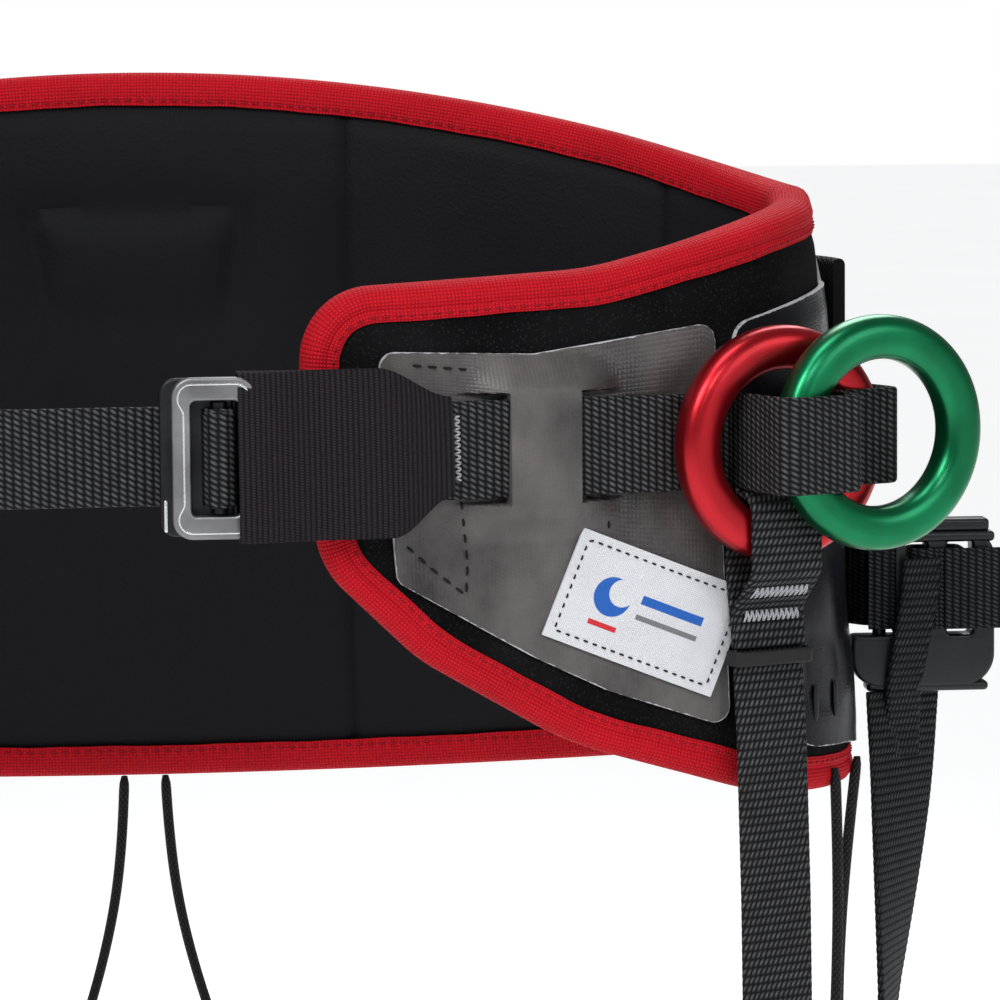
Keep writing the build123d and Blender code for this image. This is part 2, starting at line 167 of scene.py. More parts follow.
def by_length(curve, count):
    """Resample a polyline at evenly spaced lengths."""
    steps = np.linalg.norm(np.diff(curve, axis=0), axis=1)
    length = np.concatenate([[0], np.cumsum(steps)])
    places = np.linspace(0, length[-1], count)
    return np.stack([np.interp(places, length, curve[:, k]) for k in range(curve.shape[1])], 1)


def rounded(points, radii, step=0.8):
    """Polyline with each inner corner replaced by an arc of its radius, resampled evenly."""
    points = [np.asarray(p, float) for p in points]
    pieces = [points[0][None]]
    for before, corner, after, radius in zip(points, points[1:], points[2:], radii):
        into = (corner - before) / np.linalg.norm(corner - before)
        away = (after - corner) / np.linalg.norm(after - corner)
        turn = math.acos(max(-1, min(1, float(into @ away))))
        back = radius * math.tan(turn / 2)
        across = away - into
        centre = corner + across / np.linalg.norm(across) * radius / math.cos(turn / 2)
        start = corner - into * back - centre
        side = into * radius
        angles = np.linspace(0, turn, 17)[:, None]
        pieces.append(centre + start * np.cos(angles) + side * np.sin(angles))
    pieces.append(points[-1][None])
    curve = np.vstack(pieces)
    length = np.linalg.norm(np.diff(curve, axis=0), axis=1).sum()
    return by_length(curve, max(8, int(length / step)))


print("red ring's middle at", RED_CENTRE * MM, "m")

# %% [markdown]
# ## Camera, floor and light
# The saddle is looked at level and close, from in front and a little to the wearer's left, with a
# long lens so that straps stay parallel. It hangs in soft studio light over a pale floor: a big key
# light high on the left, a fill on the right, a small strip high in front whose reflection shapes the
# rings, and an edge light behind. Rays that miss everything see a plain white backdrop.

# %% Set the stage
scene = bpy.context.scene
scene.view_settings.view_transform = "Standard"


def aim(thing, place, target):
    """Stand a camera or light at a place and turn its -Z axis to a target, both in metres."""
    thing.location = place
    thing.rotation_euler = (Vector(target) - Vector(place)).to_track_quat("-Z", "Y").to_euler()
    scene.collection.objects.link(thing)


camera_data = bpy.data.cameras.new("camera")
camera_data.lens = 159.2
camera_data.clip_start = 0.01
camera = bpy.data.objects.new("camera", camera_data)
aim(camera, (0.0, -1.195, 0.100), (0.0928, -0.060, -0.0155))
camera.rotation_euler.rotate_axis("Z", math.radians(-0.5))
scene.camera = camera

LIGHTS = {
    "key": ((-0.70, -1.25, 1.10), (0.08, -0.05, -0.02), 0.75, 17.0),
    "fill": ((1.25, -1.05, 0.45), (0.10, -0.03, -0.05), 0.7, 4.0),
    "strip": ((0.45, -1.55, 0.85), (0.12, -0.06, -0.03), 0.35, 4.5),
    "edge": ((0.30, 0.95, 0.90), (0.05, 0.02, 0.00), 0.8, 9.0),
}
for name, (place, target, size, watts) in LIGHTS.items():
    lamp = bpy.data.lights.new(name, "AREA")
    lamp.shape = "DISK"
    lamp.size = size
    lamp.energy = watts
    aim(bpy.data.objects.new(name, lamp), place, target)

daylight = bpy.data.lights.new("overhead", "SUN")
daylight.energy = 1.1
daylight.angle = math.radians(30)
aim(bpy.data.objects.new("overhead", daylight), (-0.6, -0.8, 3.0), (0, 0, 0))

world = bpy.data.worlds.new("studio")
world.use_nodes = True
sky = world.node_tree.nodes["Background"]
sky.inputs["Color"].default_value = (0.95, 0.97, 1.0, 1)
sky.inputs["Strength"].default_value = 0.26
backdrop = world.node_tree.nodes.new("ShaderNodeBackground")
backdrop.inputs["Color"].default_value = (1.0, 1.0, 1.0, 1)
backdrop.inputs["Strength"].default_value = 1.0
seen = world.node_tree.nodes.new("ShaderNodeLightPath")
choose = world.node_tree.nodes.new("ShaderNodeMixShader")
links = world.node_tree.links
links.new(seen.outputs["Is Camera Ray"], choose.inputs[0])
links.new(sky.outputs[0], choose.inputs[1])
links.new(backdrop.outputs[0], choose.inputs[2])
links.new(choose.outputs[0], world.node_tree.nodes["World Output"].inputs["Surface"])
scene.world = world
print("camera and", len(LIGHTS) + 1, "lights in place")

# %% [markdown]
# ## Turning arrays of points into meshes
# Everything here is a grid of points: rows along one direction, columns along the other. One
# function joins a grid into quads, closes it round either way, and keeps a UV map in millimetres,
# so that a weave can follow the cloth however the cloth bends.

# %% Surfaces from grids
def show(name, data):
    """New object of this data, linked into the scene."""
    piece = bpy.data.objects.new(name, data)
    scene.collection.objects.link(piece)
    return piece


def settle(mesh, sharp, weld=False):
    """Merge doubles if asked, turn the faces outwards, and shade smooth up to the sharp angle."""
    work = bmesh.new()
    work.from_mesh(mesh)
    if weld:
        bmesh.ops.remove_doubles(work, verts=work.verts, dist=1e-6)
    bmesh.ops.recalc_face_normals(work, faces=work.faces)
    work.to_mesh(mesh)
    work.free()
    mesh.polygons.foreach_set("use_smooth", np.ones(len(mesh.polygons), bool))
    mesh.set_sharp_from_angle(angle=sharp)


def curve_mesh(curve):
    """Mesh of a curve and its vertex places in curve units, by way of an object that is removed again."""
    holder = show(curve.name, curve)
    mesh = bpy.data.meshes.new_from_object(holder)
    bpy.data.objects.remove(holder)
    places = np.empty(len(mesh.vertices) * 3)
    mesh.vertices.foreach_get("co", places)
    return mesh, places.reshape(-1, 3)


def make_object(name, vertices, faces, uvs=None, sharp=math.radians(40)):
    """Mesh object from vertices in mm and faces, with one uv pair for each face corner."""
    mesh = bpy.data.meshes.new(name)
    mesh.from_pydata((np.asarray(vertices) * MM).tolist(), [], [list(face) for face in faces])
    if uvs is not None:
        layer = mesh.uv_layers.new(name="cloth")
        layer.data.foreach_set("uv", np.asarray(uvs, np.float32).ravel())
    settle(mesh, sharp)
    return show(name, mesh)


def grid_faces(rows, columns, wrap_rows, wrap_columns):
    """Quads of a grid as corner indices, and the unwrapped (row, column) of each corner."""
    i, j = np.meshgrid(
        np.arange(rows - 1 + wrap_rows), np.arange(columns - 1 + wrap_columns), indexing="ij")
    i, j = i.ravel(), j.ravel()
    corners = np.stack([np.stack([i + di, j + dj]) for di, dj in ((0, 0), (1, 0), (1, 1), (0, 1))])
    index = (corners[:, 0] % rows) * columns + corners[:, 1] % columns
    return index.T, corners.transpose(2, 0, 1)


def along_grid(points, axis, wrap):
    """Running length along one axis of a grid, averaged over the other, with the closing step added."""
    steps = np.linalg.norm(np.diff(points, axis=axis), axis=2).mean(axis=1 - axis)
    if wrap:
        closing = np.take(points, 0, axis) - np.take(points, -1, axis)
        steps = np.append(steps, np.linalg.norm(closing, axis=-1).mean())
    return np.concatenate([[0], np.cumsum(steps)])


def surface(name, points, wrap_rows=False, wrap_columns=False, caps=False, sharp=math.radians(40)):
    """Grid of points (rows, columns, 3) in mm joined into quads; caps close the first and last rows."""
    rows, columns = points.shape[:2]
    faces, corners = grid_faces(rows, columns, wrap_rows, wrap_columns)
    down = along_grid(points, 0, wrap_rows)
    across = along_grid(points, 1, wrap_columns)
    uvs = np.stack([down[corners[..., 0]], across[corners[..., 1]]], -1).reshape(-1, 2)
    faces = faces.tolist()
    if caps:
        first = list(range(columns))
        faces += [first, [(rows - 1) * columns + k for k in first]]
        flat = np.stack([np.zeros(columns), across[:columns]], -1)
        uvs = np.vstack([uvs, flat, flat])
    return make_object(name, points.reshape(-1, 3), faces, uvs, sharp)


def slab(name, top, bottom, sharp=math.radians(40)):
    """Closed sheet between two grids of the same shape: each row runs out on top and back below."""
    loop = np.concatenate([top, bottom[:, ::-1]], 1)
    return surface(name, loop, wrap_columns=True, caps=True, sharp=sharp)


def mark(piece, name, values):
    """Store one number for each vertex as an attribute that a finish can read."""
    layer = piece.data.attributes.new(name, "FLOAT", "POINT")
    layer.data.foreach_set("value", np.asarray(values, np.float32).ravel())


def unit(vectors):
    """Vectors scaled to length one."""
    return vectors / np.linalg.norm(vectors, axis=-1, keepdims=True)


def sweep(name, path, across, profile, closed=False, sharp=math.radians(40)):
    """Profile (across, out) carried along a path: point = path + a * across + b * (across x tangent)."""
    tangent = np.roll(path, -1, 0) - np.roll(path, 1, 0) if closed else np.gradient(path, axis=0)
    across = unit(np.broadcast_to(across, path.shape).astype(float))
    out = unit(np.cross(across, tangent))
    profile = np.broadcast_to(profile, (len(path),) + np.shape(profile)[-2:])
    points = path[:, None] + profile[..., :1] * across[:, None] + profile[..., 1:] * out[:, None]
    return surface(name, points, wrap_rows=closed, wrap_columns=True, caps=not closed, sharp=sharp)


def flat_profile(width, thickness, side=10, edge=5):
    """Flat strap's section: two straight faces joined by half-round selvedges."""
    half = width / 2 - thickness / 2
    turn = np.linspace(-np.pi / 2, np.pi / 2, edge + 2)
    right = np.stack([half + thickness / 2 * np.cos(turn), thickness / 2 * np.sin(turn)], 1)
    face = np.linspace(half, -half, side)[1:-1]
    top = np.stack([face, np.full(side - 2, thickness / 2)], 1)
    return np.vstack([right, top, -right, -top])


RIB_PITCH = 2.2
RIB_RISE = 0.16


def webbing(name, path, across, width, thickness, closed=False):
    """Woven strap: a flat section whose faces swell by |sin(pi * length / pitch)| into crosswise ribs."""
    if closed:
        length = np.arange(len(path)) * np.linalg.norm(path[1] - path[0])
    else:
        length = np.concatenate([[0], np.cumsum(np.linalg.norm(np.diff(path, axis=0), axis=1))])
    swell = RIB_RISE * (np.abs(np.sin(np.pi * length / RIB_PITCH)) - 0.5)
    flat = flat_profile(width, thickness)
    profile = np.repeat(flat[None], len(path), 0)
    profile[..., 1] += np.sign(flat[:, 1]) * swell[:, None]
    return sweep(name, path, across, profile, closed=closed)


print("webbing section has", len(flat_profile(25, 2)), "points")

# %% [markdown]
# ## Shader maths as plain expressions
# A weave is a formula: a rib rises and falls with the length along the strap. Wrapping a socket in a
# small class lets the formula be written as Python, and each operator adds its own Math node.

# %% Numbers that write their own nodes
class Value:
    """A number socket; +, -, *, / and the named steps below each add one Math node."""

    def __init__(self, finish, socket):
        self.finish = finish
        self.socket = socket

    def step(self, operation, *others, clamp=False):
        """One Math node with this value first."""
        maths = self.finish.node(
            "ShaderNodeMath", {"operation": operation, "use_clamp": clamp}, [self, *others])
        return Value(self.finish, maths.outputs[0])

    def reflected(self, operation, first):
        """One Math node with a plain number first and this value second."""
        maths = self.finish.node("ShaderNodeMath", {"operation": operation}, [first, self])
        return Value(self.finish, maths.outputs[0])

    def __add__(self, other):
        return self.step("ADD", other)

    __radd__ = __add__

    def __mul__(self, other):
        return self.step("MULTIPLY", other)

    __rmul__ = __mul__

    def __sub__(self, other):
        return self.step("SUBTRACT", other)

    def __rsub__(self, other):
        return self.reflected("SUBTRACT", other)

    def __truediv__(self, other):
        return self.step("DIVIDE", other)

    def __pow__(self, other):
        return self.step("POWER", other)

    def fract(self):
        return self.step("FRACT")

    def floor(self):
        return self.step("FLOOR")

    def sine(self):
        return self.step("SINE")

    def size(self):
        return self.step("ABSOLUTE")

    def clamp(self):
        return self.step("ADD", 0.0, clamp=True)

    def hill(self):
        """Parabola 1 - (2f - 1)^2 on each whole number's fraction f: 0 at the joins, 1 between them."""
        centred = self.fract() * 2 - 1
        return 1 - centred * centred

    def ramp(self, low, high):
        """0 below low, 1 above high, a straight line between."""
        return ((self - low) / (high - low)).clamp()


class Finish:
    """One material: its shader and the nodes that feed it."""

    def __init__(self, name, **constants):
        self.material = bpy.data.materials.new(name)
        self.material.use_nodes = True
        self.tree = self.material.node_tree
        self.shader = self.tree.nodes["Principled BSDF"]
        for socket, value in constants.items():
            self.shader.inputs[socket.replace("_", " ")].default_value = value

    def node(self, kind, settings=None, inputs=()):
        """Any node: settings such as an operation first, then the values or links of its sockets."""
        made = self.tree.nodes.new(kind)
        for key, value in (settings or {}).items():
            setattr(made, key, value)
        named = inputs.items() if isinstance(inputs, dict) else enumerate(inputs)
        for key, value in named:
            self.feed(made.inputs[key], value)
        return made

    def feed(self, socket, value):
        """Link a value or socket into a socket, or set a plain number or colour on it."""
        if isinstance(value, Value):
            value = value.socket
        if isinstance(value, bpy.types.NodeSocket):
            self.tree.links.new(value, socket)
        elif value is not None:
            socket.default_value = (*value, 1) if np.size(value) == 3 and socket.type == "RGBA" else value

    def cloth(self):
        """The piece's own map: millimetres along and across the cloth."""
        flat = self.node("ShaderNodeUVMap", {"uv_map": "cloth"})
        split = self.node("ShaderNodeSeparateXYZ", {}, [flat.outputs[0]])
        return Value(self, split.outputs[0]), Value(self, split.outputs[1])

    def attribute(self, name):
        """A number stored on the piece's points."""
        return Value(self, self.node("ShaderNodeAttribute", {"attribute_name": name}).outputs["Fac"])

    def place(self, stretch=(1, 1, 1)):
        """Object coordinates, stretched along each axis."""
        spot = self.node("ShaderNodeTexCoord").outputs["Object"]
        return self.node("ShaderNodeMapping", {}, {"Vector": spot, "Scale": stretch}).outputs[0]

    def noise(self, scale, detail=3.0, stretch=(1, 1, 1)):
        """Noise over Object coordinates; scale is the number of lumps in a metre."""
        made = self.node(
            "ShaderNodeTexNoise", {},
            {"Vector": self.place(stretch), "Scale": scale, "Detail": detail, "Roughness": 0.55})
        return Value(self, made.outputs[0])

    def cells(self, scale):
        """Distance to the nearest of many scattered points, for flecks and pores."""
        made = self.node("ShaderNodeTexVoronoi", {}, {"Vector": self.place(), "Scale": scale})
        return Value(self, made.outputs[0])

    def mix(self, amount, first, second):
        """Colour between two colours or colour sockets."""
        made = self.node("ShaderNodeMix", {"data_type": "RGBA", "clamp_factor": True})
        self.feed(made.inputs[0], amount)
        self.feed(made.inputs[6], first)
        self.feed(made.inputs[7], second)
        return made.outputs[2]

    def paint(self, colour, roughness, height=None, depth=0.0002):
        """Feed the shader: colour, roughness, and a height in units of depth metres."""
        self.feed(self.shader.inputs["Base Color"], colour)
        self.feed(self.shader.inputs["Roughness"], roughness)
        if height is not None:
            bump = self.node("ShaderNodeBump", {}, {"Distance": depth, "Height": height})
            self.feed(self.shader.inputs["Normal"], bump.outputs[0])
        return self.material


print("shader maths ready")

# %% [markdown]
# ## Webbing
# Strap webbing is woven so tightly across its width that it shows as ribs, about 2.2 mm apart. On
# each rib the thick yarns come up as slanted bright glints with dark furrows between; the glints are
# painted highlights in the colour. A picture of webbing would stretch at every bend, so the pattern
# is a formula of length along and across.

# %% Webbing finishes
def webbing_finish(name, dark, bright, pitch=RIB_PITCH, glint=1.5):
    """Ribs = hill(length / pitch); glints = hill(across / glint + slant), half a step on every other rib,
    mixed into the colour as painted highlights.
    """
    finish = Finish(name, Roughness=0.6, Specular_IOR_Level=0.14)
    along, across = finish.cloth()
    row = along / pitch
    rib = row.hill()
    shift = (row.floor() * 0.5).fract()
    yarn = (across / glint + shift + row.fract() * 0.8).hill()
    thread = (across / 0.42 + row.fract() * 1.6).hill()
    wear = finish.noise(260, 4).ramp(0.35, 0.75)
    # painted highlight: the slanted glints on the rib tops lighten the colour towards the bright one, in
    # random patches
    shine = (rib ** 1.5) * (yarn ** 3.2) * (0.5 + 0.5 * thread)
    colour = finish.mix(shine * (0.65 + 0.5 * wear), dark, bright)
    height = rib * 0.6 + rib * yarn * 0.35 + thread * 0.08
    return finish.paint(colour, 0.72 - 0.3 * shine, height, 0.00045)


# each webbing's second colour is its painted glint highlight, the first the strap's own near-black
WEBBING = webbing_finish("webbing_black", (0.002, 0.002, 0.0024), (0.105, 0.107, 0.112))
WEBBING_DARK = webbing_finish("webbing_charcoal", (0.002, 0.002, 0.0025), (0.052, 0.056, 0.062), glint=1.2)
print("made", WEBBING.name, "and", WEBBING_DARK.name)

# %% [markdown]
# ## Cloth, felt and binding
# The outside is a looped felt, the inside a smooth knitted lining, and the edge is bound with red
# canvas tape. Felt is scattered fibre, so it comes from noise; the canvas is a plain weave, so it is
# the product of two sine waves along and across the tape, with painted light on its raised threads
# and painted shade in its hollows.

# %% Cloth finishes
def felt_finish():
    """Matt black loops: fine flecks over a slow change of tone."""
    finish = Finish("cover_felt", Roughness=0.95, Specular_IOR_Level=0.05)
    fleck = finish.cells(900).ramp(0.35, 0.05)
    fibre = finish.noise(2600, 4)
    patch = finish.noise(35, 2).ramp(0.3, 0.7)
    colour = finish.mix(fleck * 0.55 + patch * 0.2, (0.003, 0.003, 0.0034), (0.030, 0.030, 0.032))
    return finish.paint(colour, 0.95, fibre * 0.7 + fleck * 0.5, 0.0006)


def lining_finish():
    """Smooth near-black knit: a fine stitch pattern, with a faint blue where light grazes it."""
    finish = Finish("lining_cloth", Specular_IOR_Level=0.12, Sheen_Weight=0.02, Sheen_Roughness=0.4,
                    Sheen_Tint=(0.8, 0.85, 1, 1))
    knit = finish.noise(1900, 2, (1, 1, 0.6))
    slow = finish.noise(14, 3).ramp(0.3, 0.75)
    colour = finish.mix(slow * 0.7 + knit * 0.2, (0.0022, 0.0023, 0.0030), (0.0065, 0.0068, 0.0090))
    return finish.paint(colour, 0.5 + 0.2 * slow, knit, 0.00025)


def plain_weave(along, across, pitch):
    """Height |sin(pi u / p) sin(pi v / p)|: one raised square for each crossing of the threads."""
    return ((along * (math.pi / pitch)).sine() * (across * (math.pi / pitch)).sine()).size()


def canvas_finish(name, deep, lit, pitch=0.95):
    """Canvas: a plain weave with painted light on its raised threads and painted shade in its hollows, uneven
    threads and a slow change of tone.
    """
    finish = Finish(name, Roughness=0.8, Specular_IOR_Level=0.15)
    check = plain_weave(*finish.cloth(), pitch)
    slub = finish.noise(900, 4)
    wash = finish.noise(30, 3).ramp(0.3, 0.7)
    # painted light and shade: the raised weave pulls the colour towards lit, the hollows towards deep; slub
    # and wash are real uneven threads and tone
    amount = check * 0.65 + slub * 0.3 + wash * 0.15
    colour = finish.mix(amount, deep, lit)
    return finish.paint(colour, 0.82 - 0.15 * check, check * 0.8 + slub * 0.4, 0.0003)


FELT = felt_finish()
LINING = lining_finish()
# each canvas runs from its deep colour, painted shade in the weave's hollows, to its lit colour, painted
# light on the raised threads
BINDING = canvas_finish("red_binding", (0.19, 0.001, 0.005), (0.66, 0.005, 0.016))
THREAD_RED = canvas_finish("thread_red", (0.25, 0.004, 0.01), (0.60, 0.02, 0.035), 0.3)
THREAD_BLACK = canvas_finish("thread_black", (0.004, 0.004, 0.004), (0.03, 0.03, 0.03), 0.3)
THREAD_WHITE = canvas_finish("thread_white", (0.30, 0.30, 0.33), (0.72, 0.72, 0.76), 0.3)
PAD_FABRIC = canvas_finish("thigh_cover", (0.004, 0.004, 0.005), (0.016, 0.016, 0.018), 0.8)
print("made cloth finishes")

# %% [markdown]
# ## Laminates, elastic, label, cord and rubber
# The side panel is a coated cloth: half gloss grey, with soft cloudy patches, rougher where it has
# been handled and painted lighter as soft reflections, and a pale cut edge where the cloth core shows.
# The edge is found from an attribute that the panel stores, its distance to the cut in millimetres.

# %% Coated cloth and small soft finishes
def laminate_finish(name, dark, light, gloss, edge_colour, grain, shine):
    """Cloudy tone from slow noise whose lighter patches are painted reflections, a faint woven grain, and a
    ragged pale line at the cut edge.
    """
    finish = Finish(name, Specular_IOR_Level=shine)
    clouds = finish.noise(34, 4, (1, 1, 0.75)).ramp(0.34, 0.66)
    specks = finish.noise(1500, 2)
    weave = plain_weave(*finish.cloth(), 1.1)
    wander = finish.noise(420, 3) * 0.9 + finish.noise(60, 2) * 0.5
    cut = (finish.attribute("edge") + wander).ramp(0.95, 0.78)
    # painted reflection: the cloudy patches lift the body colour from dark towards light
    body = finish.mix(clouds * 0.8 + specks * 0.25, dark, light)
    colour = finish.mix(cut, body, edge_colour)
    rough = gloss + 0.18 * clouds + 0.3 * cut
    return finish.paint(colour, rough, weave * grain + specks * 0.35 + clouds, 0.00016)


def elastic_finish():
    """Ribbed elastic: rows of fine cords 1.4 mm apart, each crossed by tiny stitches, with painted light
    where stitches cross the cord tops and painted shade in the grooves.
    """
    finish = Finish("sleeve_elastic", Roughness=0.9, Specular_IOR_Level=0.1)
    along, across = finish.cloth()
    cord = (along / 1.4).hill()
    stitch = (across / 0.62 + (along / 1.4).floor() * 0.37).hill()
    lint = finish.noise(1500, 3)
    # painted light and shade: stitch crossings on the cord tops go lighter, the grooves between cords stay
    # dark; lint is random tone
    amount = cord * stitch * 0.7 + lint * 0.3
    colour = finish.mix(amount, (0.0024, 0.0019, 0.0024), (0.028, 0.023, 0.027))
    return finish.paint(colour, 0.9, cord * 0.8 + stitch * 0.25 + lint * 0.2, 0.0004)


def label_finish():
    """Woven off-white patch with a plain printed mark: a blue crescent over a red bar, beside two bars."""
    finish = Finish("label_cloth", Roughness=0.6, Specular_IOR_Level=0.3)
    along, across = finish.cloth()
    weave = plain_weave(along, across, 0.5)
    soil = finish.noise(60, 4).ramp(0.35, 0.8)
    ground = finish.mix(soil * 0.5 + weave * 0.3, (0.64, 0.65, 0.68), (0.50, 0.51, 0.54))

    def disc(u, v, edge, beyond):
        """1 inside the circle of radius edge round (u, v), or outside it where beyond is larger."""
        return (((along - u) * (along - u) + (across - v) * (across - v)) ** 0.5).ramp(edge, beyond)

    def strip(middle, half, edge=0.1):
        """1 within half a width of a line across the label."""
        return (across - middle).size().ramp(half, half - edge)

    crescent = disc(14, 15.5, 5.3, 5.1) * disc(16.2, 17.2, 3.5, 3.7)
    blue, grey, red = (0.012, 0.10, 0.42), (0.16, 0.16, 0.17), (0.55, 0.02, 0.03)
    colour = finish.mix(crescent, ground, blue)
    beside = (along - 31).size().ramp(9.2, 9.0)
    colour = finish.mix(beside * strip(17.5, 1.25), colour, blue)
    colour = finish.mix(beside * strip(12.8, 0.75), colour, grey)
    colour = finish.mix((along - 14).size().ramp(4.2, 4.0) * strip(7.6, 0.75), colour, red)
    return finish.paint(colour, 0.55 + 0.15 * weave, weave, 0.00012)


def cord_finish():
    """Braided sheath: two sets of slanted strands, along +- across, crossing in diamonds, with painted light
    on the raised diamonds and painted shade in the grooves.
    """
    finish = Finish("cord_black", Roughness=0.55, Specular_IOR_Level=0.2)
    along, across = finish.cloth()
    one = ((along / 1.9) + across / 1.35).hill()
    other = ((along / 1.9) - across / 1.35).hill()
    braid = one * other
    # painted light and shade: the raised braid diamonds take the lighter colour, the grooves the darker
    colour = finish.mix(braid, (0.002, 0.002, 0.0025), (0.018, 0.018, 0.020))
    return finish.paint(colour, 0.6 - 0.15 * braid, braid, 0.0003)


def moulded_finish(name, dark, light, gloss, grain=0.6, coat=0.0):
    """Moulded plastic or rubber: spark-eroded grain and a little wear."""
    finish = Finish(name, Specular_IOR_Level=0.3, Coat_Weight=coat, Coat_Roughness=0.2)
    grainy = finish.noise(1400, 3)
    wear = finish.noise(45, 4).ramp(0.45, 0.8)
    colour = finish.mix(wear * 0.6 + grainy * 0.2, dark, light)
    return finish.paint(colour, gloss + 0.15 * wear, grainy * grain, 0.00012)


# each laminate's second colour is the painted reflection in its cloudy patches
GREY_LAMINATE = laminate_finish(
    "grey_laminate", (0.014, 0.013, 0.014), (0.104, 0.096, 0.094), 0.25, (0.42, 0.42, 0.44), 0.3, 0.35)
BLACK_LAMINATE = laminate_finish(
    "black_laminate", (0.0018, 0.002, 0.003), (0.006, 0.006, 0.009), 0.16, (0.40, 0.40, 0.42), 0.05, 0.1)
ELASTIC = elastic_finish()
LABEL = label_finish()
CORD = cord_finish()
PLASTIC = moulded_finish("black_plastic", (0.003, 0.004, 0.006), (0.012, 0.014, 0.018), 0.36, 0.5, 0.1)
RUBBER = moulded_finish("keeper_rubber", (0.004, 0.004, 0.004), (0.012, 0.012, 0.012), 0.55)
print("made laminates and trims")

# %% [markdown]
# ## Metals
# The load rings are turned aluminium with a glossy dye finish: a bright reflection with the faint
# rings of the lathe tool, running round the ring because u runs round it. The buckle is plated
# steel, satin on the face and polished along one inlaid line.

# %% Metal finishes
def anodised_finish(name, deep, lit):
    """Dyed aluminium: fine turning marks across the section and slow changes of depth of colour."""
    finish = Finish(name, Metallic=0.9, Coat_Weight=0.2, Coat_Roughness=0.2)
    across = finish.cloth()[1]
    marks = finish.node(
        "ShaderNodeTexNoise", {"noise_dimensions": "1D"}, {"W": across * 3.0, "Scale": 1.0, "Detail": 4.0})
    lathe = Value(finish, marks.outputs[0])
    depth = finish.noise(40, 3).ramp(0.3, 0.7)
    colour = finish.mix(depth * 0.6 + lathe * 0.3, deep, lit)
    return finish.paint(colour, 0.25 + 0.1 * lathe, lathe, 0.00003)


def metal_finish(name, dark, light, gloss):
    """Plated steel: blasted grain, with smoother and rougher patches from handling."""
    finish = Finish(name, Metallic=1.0)
    grain = finish.noise(2200, 3)
    patch = finish.noise(70, 4).ramp(0.3, 0.75)
    colour = finish.mix(patch * 0.7 + grain * 0.3, dark, light)
    return finish.paint(colour, gloss + 0.14 * patch + 0.08 * grain, grain, 0.00004)


RED_METAL = anodised_finish("red_anodised", (0.30, 0.004, 0.010), (0.52, 0.012, 0.020))
GREEN_METAL = anodised_finish("green_anodised", (0.0005, 0.105, 0.036), (0.002, 0.22, 0.085))
GUNMETAL = metal_finish("gunmetal", (0.14, 0.14, 0.145), (0.30, 0.30, 0.305), 0.34)
BLACK_STEEL = metal_finish("black_steel", (0.015, 0.015, 0.017), (0.045, 0.046, 0.05), 0.32)
BRIGHT_STEEL = metal_finish("bright_steel", (0.62, 0.63, 0.65), (0.86, 0.87, 0.89), 0.12)
print("made metals")


def dress(piece, material, body, replaced=()):
    """Finish, body (None for a piece that crosses a joint), slot, and the frame nodes it stands for."""
    piece.data.materials.append(material)
    if body:
        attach(piece, body)
    if replaced:
        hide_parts(*replaced)
    return piece

# %% [markdown]
# ## The belt's outline
# The wings are cut to a rounded outline seen from the front, and the back to two long arcs. Working
# it out once as top and bottom edges, by their run round the belt, lets the cover, the lining and
# the binding share it exactly.

# %% Outline of the padded belt
FAR_X = 230.0
WING = [
    (230, 72), (118, 44.5), (42, 40.5), (40, -5), (47, -31), (71, -54), (110, -77), (165, -94.5), (230, -103),
]
WING_RADII = [90, 19, 30, 24, 50, 90, 120]


def wing_run(x, z):
    """Run at which the flared outer face reaches x at height z: arc length times the normal's angle."""
    broad = np.arcsin(np.clip(x / (BROAD_RADIUS - FLARE * z), -1, 1))
    tight = np.arcsin(np.clip((x - END_CENTRE) / (END_RADIUS - FLARE * z), -1, 1))
    return np.where(broad < JOIN_ANGLE, BROAD_RADIUS * broad, BROAD_RUN + END_RADIUS * (tight - JOIN_ANGLE))


def back_height(x, end, middle):
    """Height of the arc through (+-230, end) and (0, middle)."""
    rise = middle - end
    radius = (FAR_X**2 + rise**2) / (2 * rise)
    return middle - radius + math.copysign(1, rise) * np.sqrt(radius**2 - x**2)


def back_edge(end, middle):
    """Back edge as (run, z) from the hip round to the back centre."""
    run = np.linspace(HIP_RUN, HALF_RUN, 90)
    z = np.full_like(run, end)
    for _ in range(4):
        z = back_height(np.abs(belt(run, z, 0)[:, 0]), end, middle)
    return np.stack([run, z], 1)


def wing_edge():
    """Wing edge as (run, z), from the hip along the top, round the front and back along the bottom."""
    edge = rounded(WING, WING_RADII, 1.0)
    edge = edge[edge[:, 0] < END_CENTRE + END_RADIUS - FLARE * edge[:, 1] - 1.5]
    return np.stack([wing_run(edge[:, 0], edge[:, 1]), edge[:, 1]], 1)


half_edge = np.vstack([back_edge(43.6, 95.0)[::-1], wing_edge(), back_edge(-92.0, -110.0)])
other_half = half_edge[::-1] * [-1, 1] + [2 * HALF_RUN, 0]
OUTLINE = by_length(np.vstack([half_edge, other_half[1:]]), 2400)[:-1]
print("outline", round(float(np.linalg.norm(np.diff(OUTLINE, axis=0), axis=1).sum())), "mm round")


def inward(outline):
    """Unit normals of a closed outline, turned to its inside."""
    tangent = unit(np.roll(outline, -3, 0) - np.roll(outline, 3, 0))
    normal = np.stack([-tangent[:, 1], tangent[:, 0]], 1)
    area = (outline[:, 0] * np.roll(outline[:, 1], -1) - np.roll(outline[:, 0], -1) * outline[:, 1]).sum()
    return normal if area > 0 else -normal


INWARD = inward(OUTLINE)


